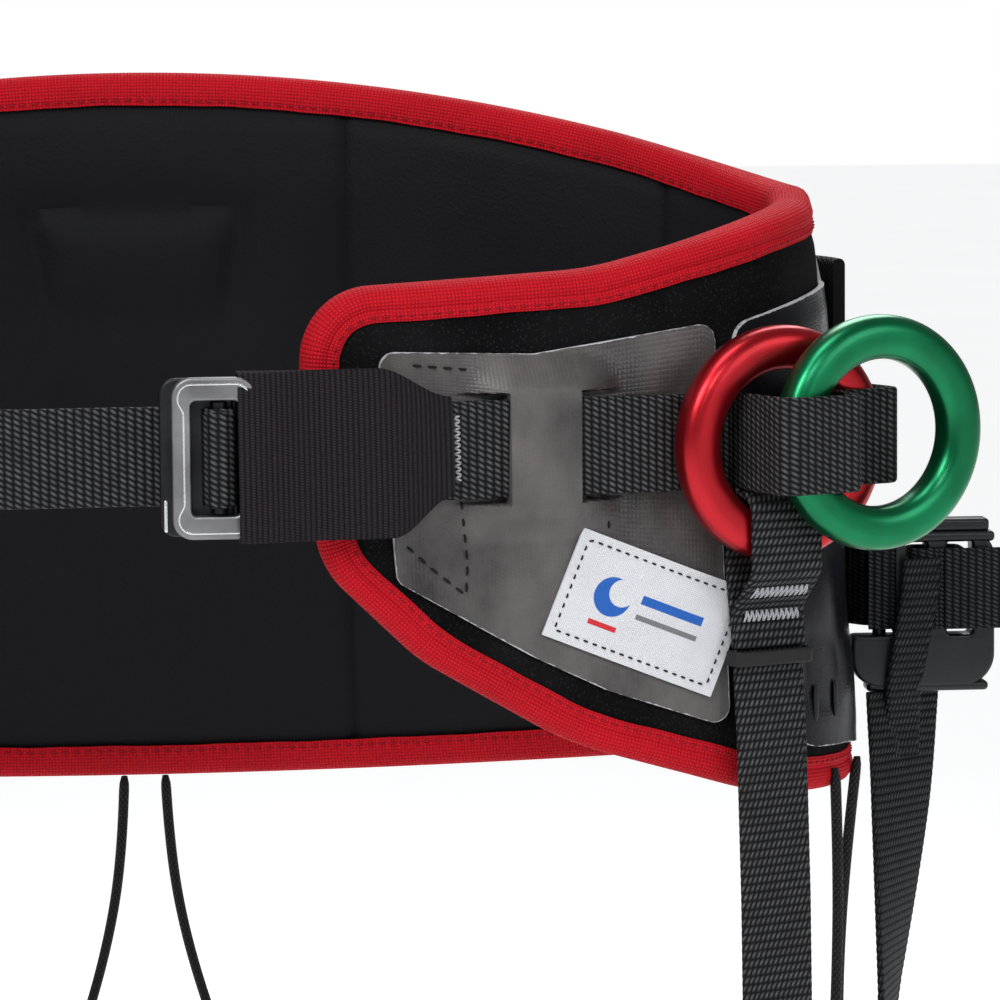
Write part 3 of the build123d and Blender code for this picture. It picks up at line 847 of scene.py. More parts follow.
def inset_edges(inset, columns):
    """Columns of (run, bottom, top) inside the outline moved in by an inset, closer at both ends."""
    moved = OUTLINE + INWARD * inset
    low, high = moved[:, 0].min() + 0.02, moved[:, 0].max() - 0.02
    spread = 0.5 - 0.5 * np.cos(np.linspace(0, np.pi, columns))
    run = low + (high - low) * (0.75 * np.linspace(0, 1, columns) + 0.25 * spread)
    left, right = moved[:, 0].argmin(), moved[:, 0].argmax()
    ring = np.roll(moved, -left, 0)
    turn = (right - left) % len(moved)
    one, two = ring[:turn + 1], ring[turn:][::-1]
    heights = [np.interp(run, np.maximum.accumulate(branch[:, 0]), branch[:, 1]) for branch in (one, two)]
    return run, np.minimum(*heights), np.maximum(*heights)


def inset_grid(inset, columns, rows):
    """Grid of (run, z) filling the outline moved in by an inset, with rows crowded to the edges."""
    run, bottom, top = inset_edges(inset, columns)
    share = np.linspace(0, 1, rows)
    share = 0.7 * share + 0.3 * (0.5 - 0.5 * np.cos(np.pi * share))
    z = bottom[:, None] + (top - bottom)[:, None] * share
    return np.broadcast_to(run[:, None], z.shape), z


def edge_distance(run, z):
    """Distance in mm from each grid point to the belt's outline, by the nearest outline point."""
    near = np.full(run.shape, 1e9)
    for part in np.array_split(OUTLINE, 24):
        gap = np.hypot(run[..., None] - part[:, 0], z[..., None] - part[:, 1])
        near = np.minimum(near, gap.min(-1))
    return near


# %% [markdown]
# ## Outer cover and padded lining
# The cover is a thin felt skin. The lining is the padded side that faces the wearer: a long closed
# cushion that pulls in at its bound edge, with a raised lumbar shield at the back, a sewn channel
# round it and a long crease below. Cloth pressure fills it out between the seams, which stay pinned.

# %% Outer cover
SKIN_INSET = 7.5
COVER_REAR = -2.1
run, z = inset_grid(SKIN_INSET, 420, 34)
rim = edge_distance(run, z)
sink = 1.3 * (1 - smooth(7, 16, rim))
top = belt(run, z, -sink)
bottom = belt(run, z, COVER_REAR)
cover = dress(slab("cover_felt", top, bottom), FELT, "hip_belt", ["outer_cover"])
print("cover", len(cover.data.vertices), "points")

# %% Padded lining
SHIELD = [(-33, 57), (33, 57), (29, 31), (25, 24), (-25, 24), (-29, 31)]


def band(distance, width):
    """Seam groove: 1 on the line, falling as a bell exp(-(d / width)^2) to each side."""
    return np.exp(-(distance / width) ** 2)


def polygon_distance(points, run, z):
    """Signed distance from grid points to a rounded closed polygon: positive inside."""
    ring = np.array(points, float)
    near = np.full(run.shape, 1e9)
    inside = np.zeros(run.shape, bool)
    for start, end in zip(ring, np.roll(ring, -1, 0)):
        step = end - start
        share = np.clip(((run - start[0]) * step[0] + (z - start[1]) * step[1]) / (step @ step), 0, 1)
        near = np.minimum(near, np.hypot(run - start[0] - share * step[0], z - start[1] - share * step[1]))
        crosses = (start[1] > z) != (end[1] > z)
        reach = start[0] + (z - start[1]) / (end[1] - start[1] + 1e-12) * step[0]
        inside ^= crosses & (run < reach)
    return np.where(inside, near, -near)


def quilting(run, z):
    """Depth in mm added towards the wearer: crowned edge, lumbar shield, long crease, four upright seams."""
    from_back = run - HALF_RUN
    rim = edge_distance(run, z)
    crown = 2.6 * smooth(8, 34, rim) - 1.6 * (1 - smooth(8, 14, rim))
    inside = polygon_distance(SHIELD, from_back, z)
    relief = 2.0 * smooth(1.5, 12, inside) - 1.7 * band(inside - 1.0, 2.6)
    seam = band(inside - 1.0, 2.2)
    crease = 19 - 4.0 * np.cos(from_back / 70)
    relief -= 0.8 * band(z - crease + 2, 3.0) * smooth(110, 60, np.abs(from_back))
    for place in (-62, 62, -162, 162):
        relief -= 1.3 * band(from_back - place, 1.6)
        seam += band(from_back - place, 1.4)
    return crown + relief, np.clip(seam, 0, 1)


run, z = inset_grid(SKIN_INSET, 460, 48)
puff, seam = quilting(run, z)
front = belt(run, z, -2.3)
back = belt(run, z, -11.4 - puff)
lining = slab("quilted_lining", back, front)
held = np.maximum(seam, 1 - smooth(9, 16, edge_distance(run, z)))
pinned = np.concatenate([held, np.ones(held.shape)], 1).ravel()


def inflate(piece, pins, pressure, cap, frames=20):
    """Let cloth pressure fill a closed pad between its pinned seams, and keep each move under a cap."""
    before = np.empty(len(piece.data.vertices) * 3, np.float32)
    piece.data.vertices.foreach_get("co", before)
    group = piece.vertex_groups.new(name="pins")
    for level in np.unique(np.round(pins, 1)):
        chosen = np.flatnonzero(np.round(pins, 1) == level)
        group.add(chosen.tolist(), float(level), "REPLACE")
    cloth = piece.modifiers.new("cloth", "CLOTH")
    cloth.settings.quality = 4
    cloth.settings.use_pressure = True
    cloth.settings.uniform_pressure_force = pressure
    cloth.settings.vertex_group_mass = "pins"
    cloth.settings.pin_stiffness = 5.0
    cloth.settings.tension_stiffness = 25
    cloth.settings.compression_stiffness = 6
    cloth.settings.bending_stiffness = 0.4
    cloth.settings.effector_weights.gravity = 0
    cloth.collision_settings.use_collision = False
    cloth.point_cache.frame_end = frames
    for frame_number in range(1, frames + 1):
        scene.frame_set(frame_number)
    depsgraph = bpy.context.evaluated_depsgraph_get()
    after = np.empty_like(before)
    piece.evaluated_get(depsgraph).data.vertices.foreach_get("co", after)
    piece.modifiers.remove(cloth)
    scene.frame_set(1)
    move = (after - before).reshape(-1, 3)
    length = np.linalg.norm(move, axis=1, keepdims=True)
    move *= np.minimum(1, cap * MM / np.maximum(length, 1e-9)) * (1 - pins[:, None])
    piece.data.vertices.foreach_set("co", (before.reshape(-1, 3) + move).astype(np.float32).ravel())
    piece.data.update()
    piece.vertex_groups.clear()
    print(piece.name, "filled out by", round(float(length.max()) / MM, 2), "mm at most, capped at", cap)


inflate(lining, pinned, 3.0, 2.5)
dress(lining, LINING, "hip_belt", ["pad_lining", "pad_core"])
print("lining", len(lining.data.vertices), "points")

# %% [markdown]
# ## Edge binding
# Canvas tape is folded over the raw edge and sewn down: round where it wraps the pad, flat where it
# is stitched, with a ridge between. Its section is carried round the whole outline, so the tape
# turns the tight front corners as the real one does.

# %% Binding and its stitches
TAPE_WIDTH = 9.4
BINDING_SECTION = np.array([
    (9.4, -0.9), (9.3, -0.35), (8.4, -0.15), (7.0, -0.2), (6.3, -0.5), (5.6, -0.15), (4.2, 0.1),
    (2.6, -0.3), (1.3, -1.3), (0.45, -2.9), (0.1, -4.8), (0.1, -7.2), (0.45, -9.1), (1.4, -10.6),
    (3.0, -11.6), (5.0, -12.0), (7.5, -11.9), (9.3, -11.7), (9.4, -11.1), (6.5, -10.3), (4.0, -8.6),
    (3.2, -6.0), (4.0, -3.2), (6.5, -1.6),
])


def bound_edge(name, outline, normals, section):
    """Section (inset, lift) carried round a closed outline on the belt, puckered by two slow sine waves."""
    count = np.arange(len(outline))
    wave = (0.25 * np.sin(count * 0.115) + 0.15 * np.sin(count * 0.297))[:, None]
    inset = section[None, :, 0] + 0.4 * wave * (section[None, :, 0] > 6)
    fullness = 0.5 - 0.5 * np.cos(section[None, :, 0] / TAPE_WIDTH * 2 * np.pi)
    lift = section[None, :, 1] + wave * fullness * 0.5
    spot = outline[:, None] + normals[:, None] * inset[..., None]
    return surface(name, belt(spot[..., 0], spot[..., 1], lift), wrap_rows=True, wrap_columns=True)


binding = bound_edge("belt_binding_tape", OUTLINE, INWARD, BINDING_SECTION)
dress(binding, BINDING, "hip_belt", ["edge_binding"])
print("binding", len(binding.data.polygons), "faces")


def stitch_row(name, path, out, length=2.6, gap=1.0, width=0.75, rise=0.3):
    """Row of sewn stitches on a path in mm: each a small lens whose ends dip into the cloth."""
    path = np.asarray(path, float)
    total = np.linalg.norm(np.diff(path, axis=0), axis=1).sum()
    count = max(1, int(total / (length + gap)))
    fine = by_length(np.hstack([path, np.broadcast_to(out, path.shape)]), count * 8 + 1)
    middle = fine[4::8][:count]
    ahead = unit(fine[5::8][:count, :3] - fine[3::8][:count, :3])
    out = unit(middle[:, 3:])
    side = unit(np.cross(ahead, out))
    spin = np.linspace(0, 2 * np.pi, 6, endpoint=False)
    steps = np.array([-1.0, -0.7, 0.0, 0.7, 1.0])
    girth = np.array([0.15, 0.8, 1.0, 0.8, 0.15])
    lie = np.array([-0.45, 0.0, 0.3, 0.0, -0.45]) * rise / 0.3
    ring = (
        middle[:, None, None, :3]
        + (steps * length / 2)[None, :, None, None] * ahead[:, None, None]
        + (girth[:, None] * np.cos(spin) * width / 2)[None, ..., None] * side[:, None, None]
        + (lie[:, None] + girth[:, None] * np.sin(spin) * rise)[None, ..., None] * out[:, None, None]
    )
    rows, columns = 5, 6
    quads, corners = grid_faces(rows, columns, False, True)
    ends = [list(range(columns)), [(rows - 1) * columns + k for k in range(columns)]]
    block = rows * columns
    faces = [[corner + k * block for corner in face] for k in range(count) for face in quads.tolist() + ends]
    along = np.concatenate([corners.reshape(-1, 2), np.zeros((2 * columns, 2))]) * [0.65, 0.3]
    return make_object(name, ring.reshape(-1, 3), faces, np.tile(along, (count, 1)), math.radians(60))


def on_belt(points, lift, mirror=1):
    """Polyline of (x, z) on the front of the belt, laid at a lift, with its outward normals."""
    spots = by_length(np.array(points, float), 60)
    run = wing_run(spots[:, 0], spots[:, 1])
    return mirrored(belt(run, spots[:, 1], lift), mirror), mirrored(belt_normal(run), mirror)


SEAM_INSET = 7.9
spot = np.vstack([OUTLINE, OUTLINE[:1]]) + np.vstack([INWARD, INWARD[:1]]) * SEAM_INSET
for side, lift, turn in (("outside", -0.12, 1), ("inside", -12.0, -1)):
    path = belt(spot[:, 0], spot[:, 1], lift)
    seam_line = stitch_row(
        f"binding_stitches_{side}", path, turn * belt_normal(spot[:, 0]), 2.4, 0.9, 0.6, 0.22)
    dress(seam_line, THREAD_RED, "hip_belt")
print("binding sewn")

# %% [markdown]
# ## Side panels
# A grey coated panel spreads the pull of the webbing over each wing. The webbing dives under it
# through two slots, so the panel stands up in a low tunnel there. It is one sheet: its height above
# the belt is a formula of place, steep at the two slots and soft above and below.

# %% Grey panel on each side
PANEL = [(60, 25), (100, 23.5), (148, 30), (151, -75), (118, -63), (98, -53), (64, -33)]
TUNNEL = (92.0, 110.0)
SLOT_HALF = 13.6


def filled(points, radius, columns, rows, hold=()):
    """Grid of (x, z) that fills a rounded outline between its lowest and highest edge at each x."""
    ring = [np.array(p, float) for p in points]
    loop = rounded([(ring[0] + ring[-1]) / 2, *ring, (ring[0] + ring[-1]) / 2], [radius] * len(ring), 0.25)
    left, right = loop[:, 0].argmin(), loop[:, 0].argmax()
    turn = np.roll(loop[:-1], -left, 0)
    cut = (right - left) % (len(loop) - 1)
    one, two = turn[:cut + 1], turn[cut:][::-1]
    x = np.linspace(loop[:, 0].min() + 0.01, loop[:, 0].max() - 0.01, columns)
    close = np.array([0.3, 0.8, 1.6])
    x = np.unique(np.concatenate([x, x[0] + close, x[-1] - close, hold]))
    edges = [np.interp(x, np.maximum.accumulate(branch[:, 0]), branch[:, 1]) for branch in (one, two)]
    low, high = np.minimum(*edges), np.maximum(*edges)
    z = low[:, None] + (high - low)[:, None] * np.linspace(0, 1, rows)
    grid_x = np.broadcast_to(x[:, None], z.shape)
    rim = np.full(z.shape, 1e9)
    for part in np.array_split(loop, 12):
        rim = np.minimum(rim, np.hypot(grid_x[..., None] - part[:, 0], z[..., None] - part[:, 1]).min(-1))
    return grid_x, z, rim


def tunnel_height(x, z):
    """Rise = 6.3 mm where |z| < 13.8, then down to nothing at |z| = 25, and sharp at the two slots."""
    over = smooth(TUNNEL[0] - 0.5, TUNNEL[0], x) * (1 - smooth(TUNNEL[1], TUNNEL[1] + 0.5, x))
    beside = smooth(TUNNEL[0] - 14, TUNNEL[0] + 2, x) * (1 - smooth(TUNNEL[1] - 2, TUNNEL[1] + 14, x))
    flank = 1 - smooth(13.8, 25.0, np.abs(z))
    inner = 1 - smooth(SLOT_HALF, SLOT_HALF + 0.5, np.abs(z))
    return 6.3 * flank * (inner * over + (1 - inner) * beside)


def buckled(x, z):
    """Slow waves of a handled sheet, under half a millimetre."""
    return 0.22 * np.sin(x / 9.5 + z / 13) + 0.18 * np.sin(z / 7.3 - x / 17)


slots = (np.array(TUNNEL)[:, None] + np.array([-0.5, -0.25, 0, 0.25, 0.5])).ravel()
for side, hand in SIDES.items():
    x, z, rim = filled(PANEL, 4, 170, 160, slots)
    run = wing_run(x, z)
    rise = tunnel_height(x, z) + buckled(x, z) * smooth(2, 10, rim) + 0.2
    front = mirrored(belt(run, z, 1.25 + rise), hand)
    rear = mirrored(belt(run, z, 0.1 + rise * 0.94), hand)
    panel = slab(f"grey_panel_{side}", front, rear)
    mark(panel, "edge", np.concatenate([rim, rim[:, ::-1]], 1).ravel())
    dress(panel, GREY_LAMINATE, "hip_belt", [f"side_panel_{side}", f"webbing_tunnel_{side}"])
print("grey panels", panel.data.name, len(panel.data.polygons), "faces")

# %% [markdown]
# The panel is sewn with black thread near its front edge. Each line of stitches is a short path laid
# on the belt and lifted clear of the panel.

# %% Panel stitching
PANEL_SEAMS = [
    [(68, 21.5), (83, 20), (83, 15.5)],
    [(80.5, -12.3), (82, -29), (81.5, -37)],
    [(66, -23.5), (73, -30), (81.5, -37)],
    [(118.5, -13.2), (119, -23)],
]
for side, hand in SIDES.items():
    for number, seam_points in enumerate(PANEL_SEAMS):
        path, out = on_belt(seam_points, 1.75, hand)
        row = stitch_row(f"panel_stitches_{side}_{number}", path, out, 2.6, 1.3, 0.7, 0.35)
        dress(row, THREAD_BLACK, "hip_belt")

# %% [markdown]
# ## Glossy rear panels and the sewn label
# Behind each ring a thicker black laminate wraps round the hip, with two small slots for the elastic
# cords. It is cut as one sheet from the front edge round to the back, and left a little buckled. The
# label is a woven patch sewn over the grey panel; its mark is a plain crescent and bars.

# %% Rear panels
REAR_X = 153.5


def rear_edges():
    """Top and bottom of the rear panel by run, from its rounded front edge round to behind the hip."""
    top = rounded([(REAR_X, 0), (REAR_X, 29), (190, 38.5), (FAR_X, 44)], [6, 40], 0.5)
    low = rounded([(REAR_X, 0), (REAR_X, -60), (172, -83), (FAR_X, -92)], [14, 14], 0.5)
    hip = END_CENTRE + END_RADIUS - 1
    branches = []
    for branch, back in ((top, [(118, 52), (FAR_X, 44)]), (low, [(118, -88), (FAR_X, -92)])):
        front_half = branch[branch[:, 0] < hip]
        run = wing_run(front_half[:, 0], front_half[:, 1])
        back_run = np.linspace(HIP_RUN + 8, REAR_RUN + 2, 40)
        x = belt(back_run, 0, 0)[:, 0]
        slope = (back[1][1] - back[0][1]) / (back[1][0] - back[0][0])
        back_z = back[0][1] + slope * (x - back[0][0])
        branches.append(np.vstack([np.stack([run, front_half[:, 1]], 1), np.stack([back_run, back_z], 1)]))
    return branches


top_edge, low_edge = rear_edges()
begin, finish_run = top_edge[0, 0] + 0.02, top_edge[-1, 0]
run = begin + (finish_run - begin) * np.linspace(0, 1, 200) ** 1.25
high = np.interp(run, np.maximum.accumulate(top_edge[:, 0]), top_edge[:, 1])
low = np.interp(run, np.maximum.accumulate(low_edge[:, 0]), low_edge[:, 1])
share = np.linspace(0, 1, 90)
z = low[:, None] + (high - low)[:, None] * share
run = np.broadcast_to(run[:, None], z.shape)
rim = np.minimum(np.minimum(z - low[:, None], high[:, None] - z), run - begin + 2.0 * (np.abs(z + 15) > 38))
crumple = 0.9 * np.sin(run / 6.1 + z / 9) + 0.8 * np.sin(z / 6.7 - run / 11)
crumple = crumple * band(z + 52, 26) * band(run - 190, 26)
lift = 0.15 + 0.35 * smooth(0, 8, rim) + np.maximum(crumple, -0.4) * smooth(2, 9, rim)
for side, hand in SIDES.items():
    front = mirrored(belt(run, z, 1.5 + lift), hand)
    rear = mirrored(belt(run, z, 0.1 + lift * 0.5), hand)
    panel = slab(f"black_panel_{side}", front, rear)
    mark(panel, "edge", np.concatenate([rim, rim[:, ::-1]], 1).ravel())
    dress(panel, BLACK_LAMINATE, "hip_belt", [f"rear_panel_{side}"])
    for number, x_slot in enumerate((175.5, 182.0)):
        spots = np.array([(x_slot, -72 + 5 * step) for step in np.linspace(-1, 1, 9)])
        slot_run = wing_run(spots[:, 0], spots[:, 1])
        path = mirrored(belt(slot_run, spots[:, 1], 2.1), hand)
        turn = np.linspace(0, 2 * np.pi, 12, endpoint=False)
        lips = np.stack([1.2 * np.cos(turn), 0.5 * np.sin(turn)], 1)
        taper = np.sqrt(np.clip(1 - np.linspace(-1, 1, 9) ** 4, 0.02, 1))[:, None, None]
        out = mirrored(belt_normal(slot_run), hand)
        lip = sweep(f"cord_slot_{side}_{number}", path, np.cross(out, UP), lips[None] * taper)
        dress(lip, RUBBER, "hip_belt")
print("rear panels", len(panel.data.polygons), "faces each")

# %% Label
LABEL_MIDDLE = (128.5, -43.7)
LABEL_SIZE = (48.0, 29.0)
LABEL_TILT = math.radians(-22.9)


def on_label(u, v, lift):
    """Point on the label by its own flat coordinates from the lower left corner."""
    a, b = u - LABEL_SIZE[0] / 2, v - LABEL_SIZE[1] / 2
    x = LABEL_MIDDLE[0] + a * math.cos(LABEL_TILT) - b * math.sin(LABEL_TILT)
    z = LABEL_MIDDLE[1] + a * math.sin(LABEL_TILT) + b * math.cos(LABEL_TILT)
    return belt(wing_run(x, z), z, lift)


u, v = np.meshgrid(np.linspace(0, LABEL_SIZE[0], 60), np.linspace(0, LABEL_SIZE[1], 40), indexing="ij")
edge_gap = np.minimum(np.minimum(u, LABEL_SIZE[0] - u), np.minimum(v, LABEL_SIZE[1] - v))
puff = 2.35 + 0.35 * smooth(0, 3.5, edge_gap) - 0.25 * band(edge_gap - 2.3, 0.8)
puff = puff + 0.1 * np.sin(u / 4) * np.sin(v / 5)
label = slab("sewn_label", on_label(u, v, puff + 0.35), on_label(u, v, puff - 0.5))
dress(label, LABEL, "hip_belt", ["size_label"])
corner = [(2.3, 2.3), (45.7, 2.3), (45.7, 26.7), (2.3, 26.7), (2.3, 2.3)]
border = rounded(corner, [1.5] * 3, 0.5)
path = on_label(border[:, 0], border[:, 1], 2.72)
row = stitch_row("label_stitches", path, belt_normal(run_at(path[:, 0])), 1.7, 0.9, 0.55, 0.28)
dress(row, THREAD_BLACK, "hip_belt")
print("label sewn with", len(row.data.vertices) // 30, "stitches")

# %% [markdown]
# ## Belt webbing
# The webbing leaves the buckle, runs over the panel, dives through the slots, weaves under the red
# ring, over the green ring's inner side, and back under to the hip. Drawn edge-on it is one line with
# rounded corners, so it is drawn that way and given its width upright.

# %% Belt webbing on both sides
WEB_LIFT = 5.5
WEB_WIDTH = 25.0
WEB_THICKNESS = 2.0
WEB_STEP = 0.44
FACE_ANGLES = (7, 11, 15)
RING_WEAVE = [
    (-30, -6.6), (-11.3, -6.4), (-11.3, 21.7), (11.0, 21.7), (12.0, 6.4), (32.4, 6.4), (32.4, -9.0),
]


def plan(angle, lift):
    """Plan point on the belt by the angle of its normal in degrees."""
    angle = math.radians(angle)
    tight = angle > JOIN_ANGLE
    run = BROAD_RUN + END_RADIUS * (angle - JOIN_ANGLE) if tight else BROAD_RADIUS * angle
    return belt(run, 0, lift)[:2]


def belt_strap(start, radii):
    """Centreline of one side's belt webbing in plan, at the height of the belt's middle."""
    face = [plan(angle, WEB_LIFT) for angle in FACE_ANGLES]
    rings = [near_ring(*spot, 0)[:2] for spot in RING_WEAVE]
    points = start + face + rings + [plan(66, 5), plan(80, 4.2)]
    line = rounded(points, radii + [200, 200, 120, 30, 3, 4, 4, 3, 3.5, 20, 30], WEB_STEP)
    return np.hstack([line, np.zeros((len(line), 1))])


left_line = belt_strap([(31, -96), plan(5.2, WEB_LIFT)], [60])
right_line = belt_strap([(-16.5, -91), (6, -91), (28, -92.6)], [60, 60])
for side, line, hand in (("left", left_line, 1), ("right", right_line, -1)):
    strap = webbing(f"belt_strap_{side}", mirrored(line, hand), UP, WEB_WIDTH, WEB_THICKNESS)
    dress(strap, WEBBING, "hip_belt", [f"belt_webbing_{side}"])
    print("belt webbing", side, len(strap.data.polygons), "faces")

# %% [markdown]
# White zigzag bartacks lock the folded end of the webbing near the first slot. A bartack is a dense
# row of short slanted stitches, so it uses the same stitches, laid across a zigzag path.

# %% Bartacks on the belt webbing
def zigzag(start, end, across, height, pitch):
    """Zigzag between two points: steps along the line while swinging across it by half the height."""
    start, end, across = (np.asarray(v, float) for v in (start, end, across))
    count = int(np.linalg.norm(end - start) / pitch)
    share = np.linspace(0, 1, count + 1)[:, None]
    swing = np.where(np.arange(count + 1) % 2, 0.5, -0.5)[:, None] * height
    return start + (end - start) * share + swing * across


def bartack(name, path, out):
    """Zigzag of thick white thread: each leg of the zigzag is one stitch."""
    lengths = np.linalg.norm(np.diff(path, axis=0), axis=1) * 0.96
    legs = [stitch_row(f"{name}_{k}", path[k:k + 2], out, length, 0.0, 0.62, 0.42)
            for k, length in enumerate(lengths)]
    return dress(join(name, legs), THREAD_WHITE, "hip_belt")


def join(name, pieces):
    """Merge several meshes into one new mesh object and remove the parts."""
    work = bmesh.new()
    for piece in pieces:
        work.from_mesh(piece.data)
    mesh = bpy.data.meshes.new(name)
    work.to_mesh(mesh)
    work.free()
    for piece in pieces:
        bpy.data.objects.remove(piece)
    return show(name, mesh)


for side, hand in SIDES.items():
    run = wing_run(np.array([78.6]), np.array([0.0]))[0]
    ends = [belt(run, z, WEB_LIFT + 1.25) for z in (9.0, -7.5)]
    out = belt_normal(run)
    path = zigzag(ends[0], ends[1], np.cross(out, UP), 2.1, 0.72)
    bartack(f"belt_bartack_{side}", mirrored(path, hand), mirrored(out, hand))
print("bartacks sewn")

# %% [markdown]
# ## Load rings
# Each ring is a forged aluminium hoop of rounded square section with a flat running round its face.
# A rounded square raised to a power gives that section; it is carried round a circle.

# %% Red and green rings
RING_MEAN = 24.75
RING_RADIAL, RING_AXIAL = 11.5, 10.0


def ring_section(count=48, power=2.6):
    """Section |x/a|^p + |y/b|^p = 1, with p = 2.6, between a circle and a rounded square."""
    turn = np.linspace(0, 2 * np.pi, count, endpoint=False)
    c, s = np.cos(turn), np.sin(turn)
    x = np.sign(c) * np.abs(c) ** (2 / power) * RING_RADIAL / 2
    y = np.sign(s) * np.abs(s) ** (2 / power) * RING_AXIAL / 2
    return np.stack([x, y], 1)


def load_ring(name, centre, hand):
    """Section carried round a circle in the ring's own plane."""
    turn = np.linspace(0, 2 * np.pi, 180, endpoint=False)[:, None, None]
    section = ring_section()
    reach = RING_MEAN + section[None, :, :1]
    points = centre + reach * (np.cos(turn) * ALONG + np.sin(turn) * UP) + section[None, :, 1:] * OUT
    return surface(name, mirrored(points, hand), wrap_rows=True, wrap_columns=True, sharp=math.radians(80))


GREEN_CENTRE = near_ring(22.0, 12.6, RED_CENTRE[2] + 2.5)
for side, hand in SIDES.items():
    for colour, centre, metal in (("red", RED_CENTRE, RED_METAL), ("green", GREEN_CENTRE, GREEN_METAL)):
        node = f"{colour}_ring_{side}"
        ring = load_ring(f"{colour}_load_ring_{side}", centre, hand)
        dress(ring, metal, node, [node])
print("rings", RING_MEAN * 2 - RING_RADIAL, "mm inside,", RING_MEAN * 2 + RING_RADIAL, "mm outside")

# %% [markdown]
# ## Front buckle
# A plated front frame hooks over a smaller black frame behind. Frames like this are pressed from
# plate, so one helper cuts a plate from flat outlines, bevels its edges and sets it in place. A
# polished line follows the front frame and bulges in beside the window.

# %% Plates with windows
def plate(name, outlines, thickness, bevel, place, detail=3):
    """Flat outlines (the first outside, the rest windows) as a bevelled plate; place maps (a, b, c) to mm."""
    curve = bpy.data.curves.new(name, "CURVE")
    curve.dimensions = "2D"
    curve.fill_mode = "BOTH"
    curve.extrude = thickness / 2 - bevel
    curve.bevel_depth = bevel
    curve.bevel_resolution = detail
    curve.offset = -bevel
    for number, outline in enumerate(outlines):
        outline = outline if number == 0 else outline[::-1]
        spline_piece = curve.splines.new("POLY")
        spline_piece.points.add(len(outline) - 1)
        flat = np.hstack([outline, np.zeros((len(outline), 1)), np.ones((len(outline), 1))])
        spline_piece.points.foreach_set("co", flat.ravel())
        spline_piece.use_cyclic_u = True
    mesh, flat_places = curve_mesh(curve)
    mesh.vertices.foreach_set("co", (place(flat_places) * MM).ravel())
    settle(mesh, math.radians(35), weld=True)
    return show(name, mesh)


def box_loop(middle, size, radius, steps=8):
    """Rounded rectangle outline by its middle, its size and its corner radius."""
    half = np.array(size) / 2 - radius
    turn = np.linspace(0, np.pi / 2, steps + 1)
    corners = []
    for quarter, (sx, sy) in enumerate(((1, 1), (-1, 1), (-1, -1), (1, -1))):
        angle = turn + quarter * np.pi / 2
        bend = np.stack([radius * np.cos(angle), radius * np.sin(angle)], 1)
        corners.append(np.array([sx, sy]) * half + bend)
    return np.vstack(corners) + np.array(middle)


def upright(y):
    """Stand a flat plate facing forward at depth y: a goes to x, b to z, thickness to -y."""
    def place(p):
        return np.stack([p[:, 0], y - p[:, 2], p[:, 1]], 1)
    return place


front_frame = plate(
    "buckle_frame", [box_loop((18.6, 0), (21.2, 40.4), 5), box_loop((18.8, 0), (12.2, 28.8), 1.5)],
    4.0, 0.75, upright(-98.0))
dress(front_frame, GUNMETAL, "hip_belt", ["buckle_front_frame"])
rear_frame = plate(
    "buckle_hook_frame", [box_loop((14.2, 0), (18.4, 39.6), 4), box_loop((19.3, 0), (9.0, 25.6), 0.6)],
    3.2, 0.7, upright(-94.1))
dress(rear_frame, BLACK_STEEL, "buckle_slider", ["buckle_rear_frame"])


def tube(name, path, radius, sides):
    """Round bar: a circle of a few sides carried along a path."""
    turn = np.linspace(0, 2 * np.pi, sides, endpoint=False)
    tangent = np.gradient(path, axis=0)
    lean = UP if abs(unit(tangent[len(path) // 2])[2]) < 0.9 else np.array([1.0, 0, 0])
    circle = radius * np.stack([np.cos(turn), np.sin(turn)], 1)
    return sweep(name, path, np.cross(tangent, lean), circle, sharp=math.radians(70))


upper_inlay = [(27.4, 0), (27.4, 18.6), (9.6, 18.6), (9.6, 14.2), (11.0, 11.6)]
lower_inlay = [(x, -z) for x, z in upper_inlay[::-1]]
line = rounded(upper_inlay + lower_inlay, [3.4, 3.4, 3, 2, 2, 3, 3.4, 3.4], 0.5)
path = np.stack([line[:, 0], np.full(len(line), -99.95), line[:, 1]], 1)[:-1]
inlay = sweep("buckle_inlay", path, np.array([0, -1.0, 0]),
              np.array([(-0.15, -0.3), (0.1, -0.22), (0.16, 0), (0.1, 0.22), (-0.15, 0.3)]), closed=True)
dress(inlay, BRIGHT_STEEL, "hip_belt")
hook = plate("buckle_bevel", [box_loop((6.35, -14.6), (0.9, 8.0), 0.4)], 0.5, 0.15, upright(-95.75))
dress(hook, BRIGHT_STEEL, "buckle_slider")

# %% Bar and the webbing folded round it
BAR = (19.8, -96.5)
WRAP_INNER, WRAP_OUTER = 2.45, 4.1
bar_path = np.array([(*BAR, z) for z in np.linspace(-13.9, 13.9, 20)])
dress(tube("slider_bar", bar_path, 2.1, 24), BLACK_STEEL, "buckle_slider", ["buckle_bar"])

turn = np.linspace(0, 2 * np.pi, 97, endpoint=False)
reach = (WRAP_INNER + WRAP_OUTER) / 2
path = np.stack([BAR[0] + reach * np.cos(turn), BAR[1] + reach * np.sin(turn), np.zeros(97)], 1)
wrap = webbing("bar_webbing", path, UP, 24.9, WRAP_OUTER - WRAP_INNER, closed=True)
dress(wrap, WEBBING, "buckle_slider", ["bar_wrap"])
print("buckle made")

# %% [markdown]
# ## Elastic sleeve
# A wide tube of ribbed elastic gathers the spare webbing next to the buckle. It stands open at the
# buckle and tapers flat where it is sewn down. Its section is a flattened oval whose height and
# depth change along the belt, and it has a real wall so that the mouth looks open.

